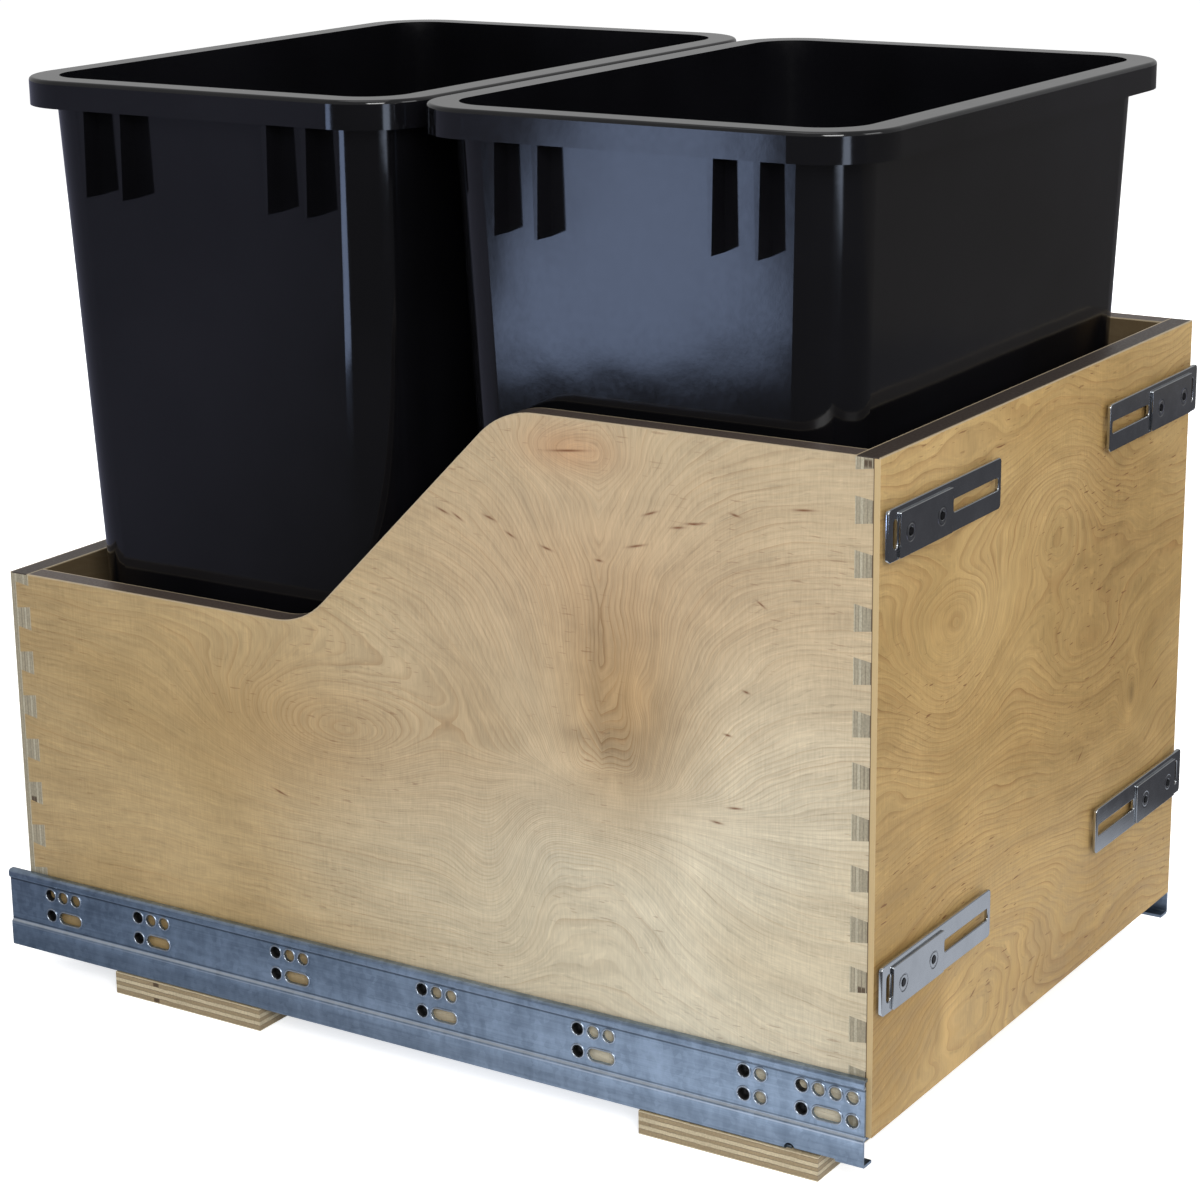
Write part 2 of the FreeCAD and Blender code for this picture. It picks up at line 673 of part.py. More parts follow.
# Roller cages, one between each pair of members
def carriage(level, half_inside, top_inside, foot_top, start):
    """A plastic channel with pockets, and the rollers that run in them."""
    centre_side = f"({half_inside} + race_side / 2)"
    centre_top = f"({top_inside} + race_gap / 2)"
    outer = f"({centre_side} + cage_thick / 2)"
    upper = f"({centre_top} + cage_thick / 2)"
    first = f"({BOX_FRONT} + {start})"
    lower = f"({foot_top} + cage_play)"
    corners = (
        (f"{RAIL} - {outer}", lower),
        (f"{RAIL} - {outer}", upper),
        (f"{RAIL} + {outer}", upper),
        (f"{RAIL} + {outer}", lower),
        (f"{RAIL} + {outer} - cage_thick", lower),
        (f"{RAIL} + {outer} - cage_thick", f"{upper} - cage_thick"),
        (f"{RAIL} - {outer} + cage_thick", f"{upper} - cage_thick"),
        (f"{RAIL} - {outer} + cage_thick", lower),
    )
    channel = profile(f"{level}_channel", "XZ", corners, first, "cage_length", {1: "1", 2: "1"})
    pockets = []
    rollers = []
    wide = "(race_gap - 2 * roller_play)"
    slim = "(race_side - 2 * roller_play)"
    middle_z = f"(({lower} + {upper} - cage_thick) / 2)"
    for end in (f"{first} + 10", f"{first} + cage_length - 10 - roller_pitch"):
        for step in range(2):
            along = f"({end} + {step} * roller_pitch)"
            rollers.append(
                rod(
                    "roller",
                    (f"{RAIL} - roller_length / 2", along, centre_top),
                    "x",
                    wide,
                    "roller_length",
                ),
            )
            pockets.append(block(
                "pocket",
                (
                    f"{RAIL} - roller_length / 2 - pocket_play",
                    f"{along} - {wide} / 2 - pocket_play",
                    f"{upper} - 4",
                ),
                (
                    f"{RAIL} + roller_length / 2 + pocket_play",
                    f"{along} + {wide} / 2 + pocket_play",
                    f"{upper} + 1",
                ),
            ))
        along = f"({end} + roller_pitch / 2)"
        for side in ("-", "+"):
            across = f"({RAIL} {side} {centre_side})"
            low_z = f"({middle_z} - side_roller_length / 2)"
            rollers.append(rod("side_roller", (across, along, low_z), "z", slim, "side_roller_length"))
            pockets.append(block(
                "side_pocket",
                (f"{across} - 2", f"{along} - {slim} / 2 - pocket_play", f"{low_z} - pocket_play"),
                (
                    f"{across} + 2",
                    f"{along} + {slim} / 2 + pocket_play",
                    f"{low_z} + side_roller_length + pocket_play",
                ),
            ))
    cage = cut(f"left_{level}_cage", channel, pockets)
    roller_set = group(f"left_{level}_rollers", rollers)
    return [
        cage,
        roller_set,
        mirror(f"right_{level}_cage", cage),
        mirror(f"right_{level}_rollers", roller_set),
    ]


lower_carriages = carriage(
    "lower", "ridge_width / 2", RIDGE_TOP, "board_thick + middle_clear + steel", "lower_cage_start"
)
upper_carriages = carriage(
    "upper", MIDDLE_HALF, MIDDLE_TOP, "board_thick + drawer_clear + steel", "upper_cage_start"
)


# Soft-close dampers on the cabinet members' floor, behind the striker
def dampers():
    case = rounded_block(
        "damper_case",
        (f"{DAMPER_X} - damper_width / 2", DAMPER_FRONT, "board_thick + steel"),
        (
            f"{DAMPER_X} + damper_width / 2",
            f"{DAMPER_FRONT} + damper_length",
            "board_thick + steel + damper_high",
        ),
        "1.5",
    )
    bore = rod(
        "damper_bore",
        (DAMPER_X, f"{DAMPER_FRONT} - 1", DAMPER_Z),
        "y",
        "damper_rod_size + 2 * damper_bore_play",
        "damper_rod_hold + 5",
    )
    housing = cut("left_damper_housing", case, [bore])
    shaft = rod(
        "damper_shaft",
        (DAMPER_X, NOSE_FRONT, DAMPER_Z),
        "y",
        "damper_rod_size",
        "nose_long + damper_rod_hold",
    )
    nose = rod("damper_nose", (DAMPER_X, NOSE_FRONT, DAMPER_Z), "y", "nose_size", "nose_long")
    piston = fuse("left_damper_rod", [shaft, nose])
    return [housing, piston, mirror("right_damper_housing", housing), mirror("right_damper_rod", piston)]


damper_parts = dampers()


# Rear hooks: a plate on the drawer member's rear end, with a pin into the back panel
def rear_hooks():
    plate = block(
        "hook_plate",
        (f"{RAIL} - hook_width / 2", BOX_REAR, f"{BOTTOM_Z} - hook_down"),
        (f"{RAIL} + hook_width / 2", f"{BOX_REAR} + steel", f"{BOTTOM_Z} + hook_up"),
    )
    pin = rod(
        "hook_pin",
        (RAIL, f"{BOX_REAR} - hook_pin_long", f"{BOTTOM_Z} + hook_pin_up"),
        "y",
        "hook_pin_size",
        "hook_pin_long + steel / 2",
    )
    hook = fuse("left_rear_hook", [plate, pin])
    return [hook, mirror("right_rear_hook", hook)]


hook_parts = rear_hooks()


# Locking clips under the bottom panel, with their release levers
def clip_screw_places():
    across = f"({MEMBER_SIDE} + clip_screw_inset)"
    middle = f"{CLIP_FRONT} + clip_long / 2"
    return [(across, f"({middle} {end} clip_screw_span / 2)") for end in ("-", "+")]


def locking_clips():
    low_x = f"{MEMBER_SIDE} + clip_gap"
    case = rounded_block(
        "clip_case",
        (low_x, CLIP_FRONT, f"{BOTTOM_Z} - clip_high"),
        (f"{low_x} + clip_width", f"{CLIP_FRONT} + clip_long", BOTTOM_Z),
        "clip_round",
    )
    wide = "screw_size + 2 * screw_fit"
    holes = [
        rod("clip_hole", (across, along, f"{BOTTOM_Z} - clip_high - 1"), "z", wide, "clip_high + 2")
        for across, along in clip_screw_places()
    ]
    pin_hole = rod(
        "pin_hole",
        (LEVER_X, LEVER_Y, f"{BOTTOM_Z} - clip_high - 1"),
        "z",
        "lever_pin_size + 2 * screw_fit",
        "clip_high / 2 + 1",
    )
    clip = cut("left_locking_clip", case, holes + [pin_hole])
    arm = rounded_block(
        "lever_arm",
        (f"{LEVER_X} - 5", f"{TONGUE_Y} - tongue_wide / 2", f"{LEVER_TOP} - lever_thick"),
        (f"{LEVER_X} + 5", f"{LEVER_Y} + 6", LEVER_TOP),
        "2",
    )
    tongue = block(
        "lever_tongue",
        (f"{MEMBER_SIDE} - steel + 0.3", f"{TONGUE_Y} - tongue_wide / 2", f"{LEVER_TOP} - lever_thick"),
        (f"{LEVER_X} - 2", f"{TONGUE_Y} + tongue_wide / 2", LEVER_TOP),
    )
    thumb = block(
        "lever_thumb",
        (
            f"{LEVER_X} - 1",
            f"{LEVER_Y} - lever_pin_head / 2 - 1 - thumb_long",
            f"{LEVER_TOP} - lever_thick - thumb_down",
        ),
        (f"{LEVER_X} + 2", f"{LEVER_Y} - lever_pin_head / 2 - 1", f"{LEVER_TOP} - lever_thick * 0.7"),
    )
    bore = rod(
        "lever_bore", (LEVER_X, LEVER_Y, f"{LEVER_TOP} - lever_thick - 1"), "z",
        "lever_pin_size + 2 * lever_pin_fit", "lever_thick + 2",
    )
    lever = cut("left_release_lever", fuse("lever_blank", [arm, tongue, thumb]), [bore])
    return [clip, lever, mirror("right_locking_clip", clip), mirror("right_release_lever", lever)]


clip_parts = locking_clips()


def lever_pins():
    """Headed pins that carry the release levers."""
    low = f"({LEVER_TOP} - lever_thick - lever_play)"
    shaft = rod(
        "pin_shaft",
        (LEVER_X, LEVER_Y, low),
        "z",
        "lever_pin_size",
        f"{BOTTOM_Z} - clip_high / 2 - {low}",
    )
    head = rod("pin_head", (LEVER_X, LEVER_Y, f"{low} - 1.2"), "z", "lever_pin_head", "1.2")
    pin = fuse("left_lever_pin", [shaft, head])
    return group("lever_pins", [pin, mirror("right_lever_pin", pin)])


def clip_screws():
    screws = []
    for across, along in clip_screw_places():
        under = f"({BOTTOM_Z} - clip_high)"
        body = shank(
            "clip_shank", (across, along, under), "z", "screw_size", "clip_high + clip_screw_bite",
        )
        head = rod(
            "clip_head",
            (across, along, f"{under} - screw_head_high"),
            "z",
            "screw_head",
            "screw_head_high",
        )
        screws.append(fuse("left_clip_screw", [body, head]))
    screws += [mirror("right_clip_screw", screw) for screw in screws]
    return group("clip_screws", screws)


lever_pin_set = lever_pins()
clip_screw_set = clip_screws()

# The bottom panel and the pocket that its grooves leave
bottom_inset = "(ply_thick - groove_depth)"
bottom_pocket = block(
    "bottom_pocket",
    (f"{BOX_LEFT} + {bottom_inset}", f"{BOX_FRONT} + {bottom_inset}", BOTTOM_Z),
    (f"-{BOX_LEFT} - {bottom_inset}", f"{BOX_REAR} - {bottom_inset}", BOTTOM_TOP),
)
bottom_blank = block(
    "bottom_blank",
    (
        f"{BOX_LEFT} + {bottom_inset} + groove_play",
        f"{BOX_FRONT} + {bottom_inset} + groove_play",
        BOTTOM_Z,
    ),
    (
        f"-{BOX_LEFT} - {bottom_inset} - groove_play",
        f"{BOX_REAR} - {bottom_inset} - groove_play",
        BOTTOM_TOP,
    ),
)
bottom_holes = []
for across, along in clip_screw_places():
    for side in ("", "-"):
        bottom_holes.append(rod(
            "bottom_hole", (f"{side}{across}", along, f"{BOTTOM_Z} - 1"), "z",
            "screw_size + 2 * screw_fit", "clip_screw_bite + 1.3",
        ))
bottom_panel = cut("bottom_panel", bottom_blank, bottom_holes)


# Front and back panels with half-blind dovetail pins
def dovetailed_panel(label, outer_face, inward, height):
    """A lap board, pins on a pitch and the core between the sides."""
    sign = "+" if inward else "-"
    body = new_body(f"{label}_blank")
    top = f"{BOX_Z} + {height}"
    lap_corners = ((BOX_LEFT, BOX_Z), (f"-{BOX_LEFT}", BOX_Z), (f"-{BOX_LEFT}", top), (BOX_LEFT, top))
    lap_sketch = outline(body, f"{label}_lap_outline", "XZ", lap_corners, f"-({outer_face})")
    pad(body, f"{label}_lap", lap_sketch, "lap", toward_plus=inward)
    left = f"{BOX_LEFT} + ply_thick"
    right = f"-{BOX_LEFT} - ply_thick"
    core_corners = ((left, BOX_Z), (right, BOX_Z), (right, top), (left, top))
    core_sketch = outline(body, f"{label}_core_outline", "XZ", core_corners, f"-({outer_face})")
    pad(body, f"{label}_core", core_sketch, "ply_thick", toward_plus=inward)
    centre = f"{BOX_Z} + pin_first"
    at_lap = f"{outer_face} {sign} lap"
    at_root = f"{outer_face} {sign} ply_thick"
    pin_corners = (
        (at_lap, f"{centre} - pin_narrow / 2"),
        (at_root, f"{centre} - pin_wide / 2"),
        (at_root, f"{centre} + pin_wide / 2"),
        (at_lap, f"{centre} + pin_narrow / 2"),
    )
    pin_sketch = outline(body, f"{label}_pin_outline", "YZ", pin_corners)
    pin_pad = pad(body, f"{label}_pin", pin_sketch, "box_width", middle=True)
    row = body.newObject("PartDesign::LinearPattern", f"{label}_pins")
    row.Originals = [pin_pad]
    row.Direction = (origin_part(body, "Z_Axis"), [""])
    tie(row, "Occurrences", f"floor(({height} - pin_first) / pin_pitch + 0.5) + 1")
    tie(row, "Length", f"floor(({height} - pin_first) / pin_pitch + 0.5) * pin_pitch")
    body.Tip = row
    low_y, high_y = (outer_face, at_root) if inward else (at_root, outer_face)
    bounds = block(
        f"{label}_bounds", (BOX_LEFT, low_y, BOX_Z), (f"-{BOX_LEFT}", high_y, f"{top} - band_thick")
    )
    trimmed = doc.addObject("Part::Common", f"{label}_trimmed")
    trimmed.Base = body
    trimmed.Tool = bounds
    band = block(
        f"{label.split('_')[0]}_edge_band",
        (BOX_LEFT, low_y, f"{top} - band_thick"),
        (f"-{BOX_LEFT}", high_y, top),
    )
    return trimmed, band


front_trimmed, front_edge_band = dovetailed_panel("front_panel", BOX_FRONT, True, "front_height")
back_trimmed, back_edge_band = dovetailed_panel("back_panel", BOX_REAR, False, "back_height")


def bracket_screw_places():
    """Left-hand screws of the upper and lower brackets."""
    places = []
    for rise in ("upper_plate_up", "lower_plate_up"):
        for step in (0, 1):
            across = f"({BOX_LEFT} + plate_edge + cover_start + cover_screw_in + {step} * cover_screw_span)"
            places.append((across, f"({BOX_Z} + {rise} - cover_drop / 2)"))
    return places


panel_holes = [
    rod(
        "panel_hole",
        (across, f"{BOX_FRONT} - 1", up),
        "y",
        "cover_screw_size + 2 * screw_fit",
        "ply_thick + 2",
    )
    for across, up in bracket_screw_places()
]
panel_holes += [mirror("panel_hole_right", hole) for hole in panel_holes]
front_panel = cut("front_panel", front_trimmed, [bottom_pocket] + panel_holes)


def back_openings():
    """Notches for the drawer members and holes for the hook pins."""
    notch = block(
        "back_notch",
        (f"{BOX_LEFT} + ply_thick", f"{BOX_REAR} - ply_thick - 1", f"{BOX_Z} - 1"),
        (f"{MEMBER_SIDE} + notch_play", f"{BOX_REAR} + 1", BOTTOM_Z),
    )
    hole = rod(
        "hook_hole",
        (RAIL, f"{BOX_REAR} - hook_pin_long - 1", f"{BOTTOM_Z} + hook_pin_up"),
        "y",
        "hook_pin_size + 2 * hook_pin_play",
        "hook_pin_long + 2",
    )
    return [notch, hole, mirror("back_notch_right", notch), mirror("hook_hole_right", hole)]


back_panel = cut("back_panel", back_trimmed, [bottom_pocket] + back_openings())


# Sides: the outline with the scoop, less the panels that are let into it
def side_outline(label, lower_by, start, length):
    """The side seen from the left; lower_by sets it below the finished edge."""
    slope = "(atan((front_height - back_height) / (scoop_end - scoop_start)) / 2)"
    shift = f"({lower_by} * tan({slope}))"
    tall = f"({BOX_Z} + front_height - {lower_by})"
    low = f"({BOX_Z} + back_height - {lower_by})"
    corners = (
        (BOX_FRONT, BOX_Z),
        (BOX_REAR, BOX_Z),
        (BOX_REAR, low),
        (f"{BOX_FRONT} + scoop_end - {shift}", low),
        (f"{BOX_FRONT} + scoop_start - {shift}", tall),
        (BOX_FRONT, tall),
    )
    radii = {3: f"scoop_round + {lower_by}", 4: f"scoop_round - {lower_by}"}
    return profile(label, "YZ", corners, start, length, radii)


side_blank = side_outline("side_blank", "band_thick", BOX_LEFT, "ply_thick")
left_side = cut("left_side", side_blank, [front_panel, back_panel, bottom_pocket])
right_side = mirror("right_side", left_side)
side_finished = side_outline("side_finished", "0", BOX_LEFT, "ply_thick")
side_below = side_outline("side_below", "band_thick", f"{BOX_LEFT} - 1", "ply_thick + 2")
left_edge_band = cut("left_edge_band", side_finished, [side_below, front_edge_band, back_edge_band])
right_edge_band = mirror("right_edge_band", left_edge_band)


# Door brackets: a slotted base plate on a pad, under a shorter plate that its screws pull back
PLATE_X = f"({BOX_LEFT} + plate_edge)"
PLATE_BACK = f"({BOX_FRONT} - plate_stand)"


def plate_slot(label, first, last, wide):
    """A slot with round ends through a base plate, between the centres of its ends."""
    start = f"{PLATE_BACK} - plate_thick - 1"
    upright = first[0] == last[0]
    low = (f"{first[0]} - {wide} / 2", first[1]) if upright else (first[0], f"{first[1]} - {wide} / 2")
    high = (f"{last[0]} + {wide} / 2", last[1]) if upright else (last[0], f"{last[1]} + {wide} / 2")
    straight = block(label, (low[0], start, low[1]), (high[0], f"{PLATE_BACK} + 1", high[1]))
    return [straight] + [
        rod(label, (across, start, up), "y", wide, "plate_thick + 2") for across, up in (first, last)
    ]


def bracket(level, rise):
    centre = f"({BOX_Z} + {rise})"
    low = f"({centre} - plate_high / 2)"
    high = f"({centre} + plate_high / 2)"
    corners = (
        (PLATE_X, low),
        (f"{PLATE_X} + plate_long", low),
        (f"{PLATE_X} + plate_long", high),
        (PLATE_X, high),
    )
    radii = {0: "plate_round", 3: "plate_round", 1: "plate_round / 2", 2: "plate_round / 2"}
    blank = profile(f"{level}_blank", "XZ", corners, f"{PLATE_BACK} - plate_thick", "plate_thick", radii)
    end_x = f"({PLATE_X} + end_slot_in)"
    reach = "(end_slot_high - end_slot_wide) / 2"
    slots = plate_slot(
        "end_slot", (end_x, f"({centre} - {reach})"), (end_x, f"({centre} + {reach})"), "end_slot_wide",
    )
    screws = [place for place in bracket_screw_places() if rise in place[1]]
    slots += plate_slot("screw_slot", screws[0], screws[1], "screw_slot_high")
    door_start = f"({PLATE_X} + cover_start + cover_long + door_slot_gap + door_slot_high / 2)"
    door_end = f"({PLATE_X} + plate_long - door_slot_end - door_slot_high / 2)"
    slots += plate_slot("door_slot", (door_start, centre), (door_end, centre), "door_slot_high")
    plate = cut(f"{level}_left_bracket_base", blank, slots)
    cover_x = f"({PLATE_X} + cover_start)"
    cover_top = f"({high} - cover_drop)"
    cover_corners = (
        (cover_x, low),
        (f"{cover_x} + cover_long", low),
        (f"{cover_x} + cover_long", cover_top),
        (cover_x, cover_top),
    )
    cover_front = f"({PLATE_BACK} - 2 * plate_thick)"
    cover_blank = profile(
        f"{level}_cover_blank",
        "XZ",
        cover_corners,
        cover_front,
        "plate_thick",
        {index: "0.8" for index in range(4)},
    )
    holes = []
    for across, up in screws:
        wide = "cover_screw_size + 2 * screw_fit"
        holes.append(rod("cover_hole", (across, f"{cover_front} - 1", up), "y", wide, "plate_thick + 2"))
    cover = cut(f"{level}_left_bracket_plate", cover_blank, holes)
    parts = [plate, cover]
    parts += [mirror(part.Label.replace("_left_", "_right_"), part) for part in (plate, cover)]
    return parts


bracket_parts = bracket("upper", "upper_plate_up") + bracket("lower", "lower_plate_up")


def bracket_fasteners():
    """Screws from inside the front panel, and the pads behind the base plates."""
    screws = []
    for across, up in bracket_screw_places():
        tip = f"({PLATE_BACK} - 2 * plate_thick + cover_screw_short)"
        body = shank(
            "bracket_shank",
            (across, tip, up),
            "y",
            "cover_screw_size",
            f"{BOX_FRONT} + ply_thick - {tip}",
        )
        head = rod(
            "bracket_head",
            (across, f"{BOX_FRONT} + ply_thick", up),
            "y",
            "cover_head",
            "cover_head_high",
        )
        screws.append(fuse("left_bracket_screw", [body, head]))
    pads = []
    for rise in ("upper_plate_up", "lower_plate_up"):
        own = [place for place in bracket_screw_places() if rise in place[1]]
        up = own[0][1]
        pad_blank = block(
            "pad_blank",
            (f"{own[0][0]} - pad_edge", PLATE_BACK, f"{up} - pad_edge"),
            (f"{own[1][0]} + pad_edge", BOX_FRONT, f"{up} + pad_edge"),
        )
        wide = "cover_screw_size + 2 * screw_fit"
        holes = [
            rod("pad_hole", (across, f"{PLATE_BACK} - 1", up), "y", wide, "plate_stand + 2")
            for across, up in own
        ]
        pads.append(cut("left_pad", pad_blank, holes))
    screws += [mirror("right_bracket_screw", screw) for screw in screws]
    pads += [mirror("right_pad", made) for made in pads]
    return [group("bracket_screws", screws), group("bracket_spacers", pads)]


fastener_parts = bracket_fasteners()


# Bins: a drafted shell, a rim with ledge and skirt, and gusset ribs on the short faces
def bins():
    bottom = BOTTOM_TOP
    top = f"({bottom} + bin_height)"
    spread = "(bin_height * tan(bin_draft))"

    def shell(label, inset, floor_up, over, corner, foot_round):
        """A drafted block; its walls are those of the outer block moved in by inset."""
        body = new_body(label)
        wedge = body.newObject("PartDesign::AdditiveWedge", f"{label}_block")
        wedge.AttachmentSupport = [(origin_part(body, "XZ_Plane"), "")]
        wedge.MapMode = "FlatFace"
        low = f"({spread} + {inset} - {floor_up} * tan(bin_draft))"
        high = f"({inset} - {over} * tan(bin_draft))"
        wall_x = f"({BIN_LENGTH} / 2 - rim_ledge)"
        wall_y = f"({BIN_WIDTH} / 2 - rim_ledge)"
        for level, back in (("", low), ("2", high)):
            tie(wedge, f"X{level}min", f"{back} - {wall_x}")
            tie(wedge, f"X{level}max", f"{wall_x} - {back}")
            tie(wedge, f"Z{level}min", f"{back} - {wall_y} - {BIN_Y}")
            tie(wedge, f"Z{level}max", f"{wall_y} - {back} - {BIN_Y}")
        tie(wedge, "Ymin", f"{bottom} + {floor_up}")
        tie(wedge, "Ymax", f"{top} + {over}")
        return soften(body, label, wedge, corner, foot_round, False)

    outside = shell("bin_outside", "0", "0", "0", "bin_corner", "bin_foot_round")
    inside = shell(
        "bin_inside", "bin_wall", "bin_wall", "1", "bin_corner - bin_wall", "bin_foot_round - bin_wall",
    )
    half_x = f"({BIN_LENGTH} / 2)"
    half_y = f"({BIN_WIDTH} / 2)"
    skirt_low = f"({top} - rim_skirt)"
    rim = rounded_block(
        "bin_rim", (f"-{half_x}", f"{BIN_Y} - {half_y}", skirt_low), (
            half_x, f"{BIN_Y} + {half_y}", top,
        ),
        "rim_round", edge_round="rim_soft",
    )
    under = rounded_block(
        "bin_under_rim",
        (f"-{half_x} + rim_wall", f"{BIN_Y} - {half_y} + rim_wall", f"{skirt_low} - 1"),
        (f"{half_x} - rim_wall", f"{BIN_Y} + {half_y} - rim_wall", f"{top} - bin_wall"),
        "rim_round - rim_wall",
    )
    ledge = cut("bin_ledge", rim, [under])
    ribs = []
    for place in ("-rib_outer", "-rib_inner", "rib_inner", "rib_outer"):
        middle = f"({BIN_Y} + {place})"
        corners = (
            (f"{middle} - rib_bottom / 2", f"{skirt_low} - rib_long"),
            (f"{middle} + rib_bottom / 2", f"{skirt_low} - rib_long"),
            (f"{middle} + rib_top / 2", f"{top} - bin_wall"),
            (f"{middle} - rib_top / 2", f"{top} - bin_wall"),
        )
        ribs.append(
            profile("bin_rib", "YZ", corners, f"-{half_x} + rim_wall", f"2 * ({half_x} - rim_wall)"),
        )
    solid = fuse("bin_solid", [outside, ledge] + ribs)
    front = cut("front_bin", solid, [inside])
    rear = mirror("rear_bin", front, "y", f"{BOX_FRONT} + box_depth / 2")
    return [front, rear]


bin_parts = bins()

# Every separate piece, each written to its own file
NODES = [
    front_cross_board, rear_cross_board, left_cabinet_member, right_cabinet_member, member_screw_set,
    left_middle_member, right_middle_member, left_drawer_member, right_drawer_member,
    lever_pin_set, clip_screw_set, bottom_panel, front_panel, back_panel, left_side, right_side,
    front_edge_band, back_edge_band, left_edge_band, right_edge_band,
]
NODES += lower_carriages + upper_carriages + damper_parts + hook_parts + clip_parts
NODES += bracket_parts + fastener_parts + bin_parts

doc.recompute()
for thing in doc.Objects:
    if "Invalid" in thing.State or "Error" in thing.State:
        raise RuntimeError(f"{thing.Label} failed: {thing.State}")
for node in NODES:
    if node.Shape.isNull() or not node.Shape.isValid():
        raise RuntimeError(f"{node.Label} has no valid shape")
os.makedirs("parts", exist_ok=True)
for node in NODES:
    node.Shape.exportStep(f"parts/{node.Label}.step")
print(len(NODES), "pieces written")
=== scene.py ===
import json
import math

import bpy
from mathutils import Matrix, Vector


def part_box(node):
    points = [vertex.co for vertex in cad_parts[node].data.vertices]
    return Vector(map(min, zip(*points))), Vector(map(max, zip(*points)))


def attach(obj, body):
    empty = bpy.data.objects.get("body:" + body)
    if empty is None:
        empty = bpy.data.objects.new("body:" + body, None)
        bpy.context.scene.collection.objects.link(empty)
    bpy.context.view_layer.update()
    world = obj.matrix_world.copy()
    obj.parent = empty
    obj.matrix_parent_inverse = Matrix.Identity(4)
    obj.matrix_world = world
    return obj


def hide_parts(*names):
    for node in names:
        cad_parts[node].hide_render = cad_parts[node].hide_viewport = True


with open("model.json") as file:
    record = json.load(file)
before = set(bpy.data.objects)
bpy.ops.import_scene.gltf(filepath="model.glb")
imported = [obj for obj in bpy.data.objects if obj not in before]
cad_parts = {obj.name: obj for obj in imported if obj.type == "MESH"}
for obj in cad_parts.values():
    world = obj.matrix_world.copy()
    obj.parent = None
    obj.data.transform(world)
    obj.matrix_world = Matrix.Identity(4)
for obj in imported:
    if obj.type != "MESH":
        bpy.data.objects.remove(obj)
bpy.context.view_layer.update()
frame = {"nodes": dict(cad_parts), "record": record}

# Pull-out bin frame: a dovetailed birch plywood box on undermount slides, with two bins
# Metres. X to the right, -Y towards the cabinet door, Z up.
MM = 0.001


def tone(red, green, blue):
    """A colour from its 0-255 values, as the shader wants it."""
    def plain(value):
        value /= 255
        return value / 12.92 if value <= 0.04045 else ((value + 0.055) / 1.055) ** 2.4
    return (plain(red), plain(green), plain(blue), 1.0)


class Nodes:
    """Builds the nodes of one tree. Their inputs are values or the sockets of other nodes."""

    def __init__(self, tree):
        self.tree = tree
        tree.nodes.clear()

    def node(self, kind, inputs=None, **settings):
        made = self.tree.nodes.new(kind)
        for key, value in settings.items():
            setattr(made, key, value)
        for key, value in (inputs or {}).items():
            self.feed(made.inputs[key], value)
        return made

    def feed(self, socket, value):
        if isinstance(value, bpy.types.NodeSocket):
            self.tree.links.new(value, socket)
        else:
            socket.default_value = value


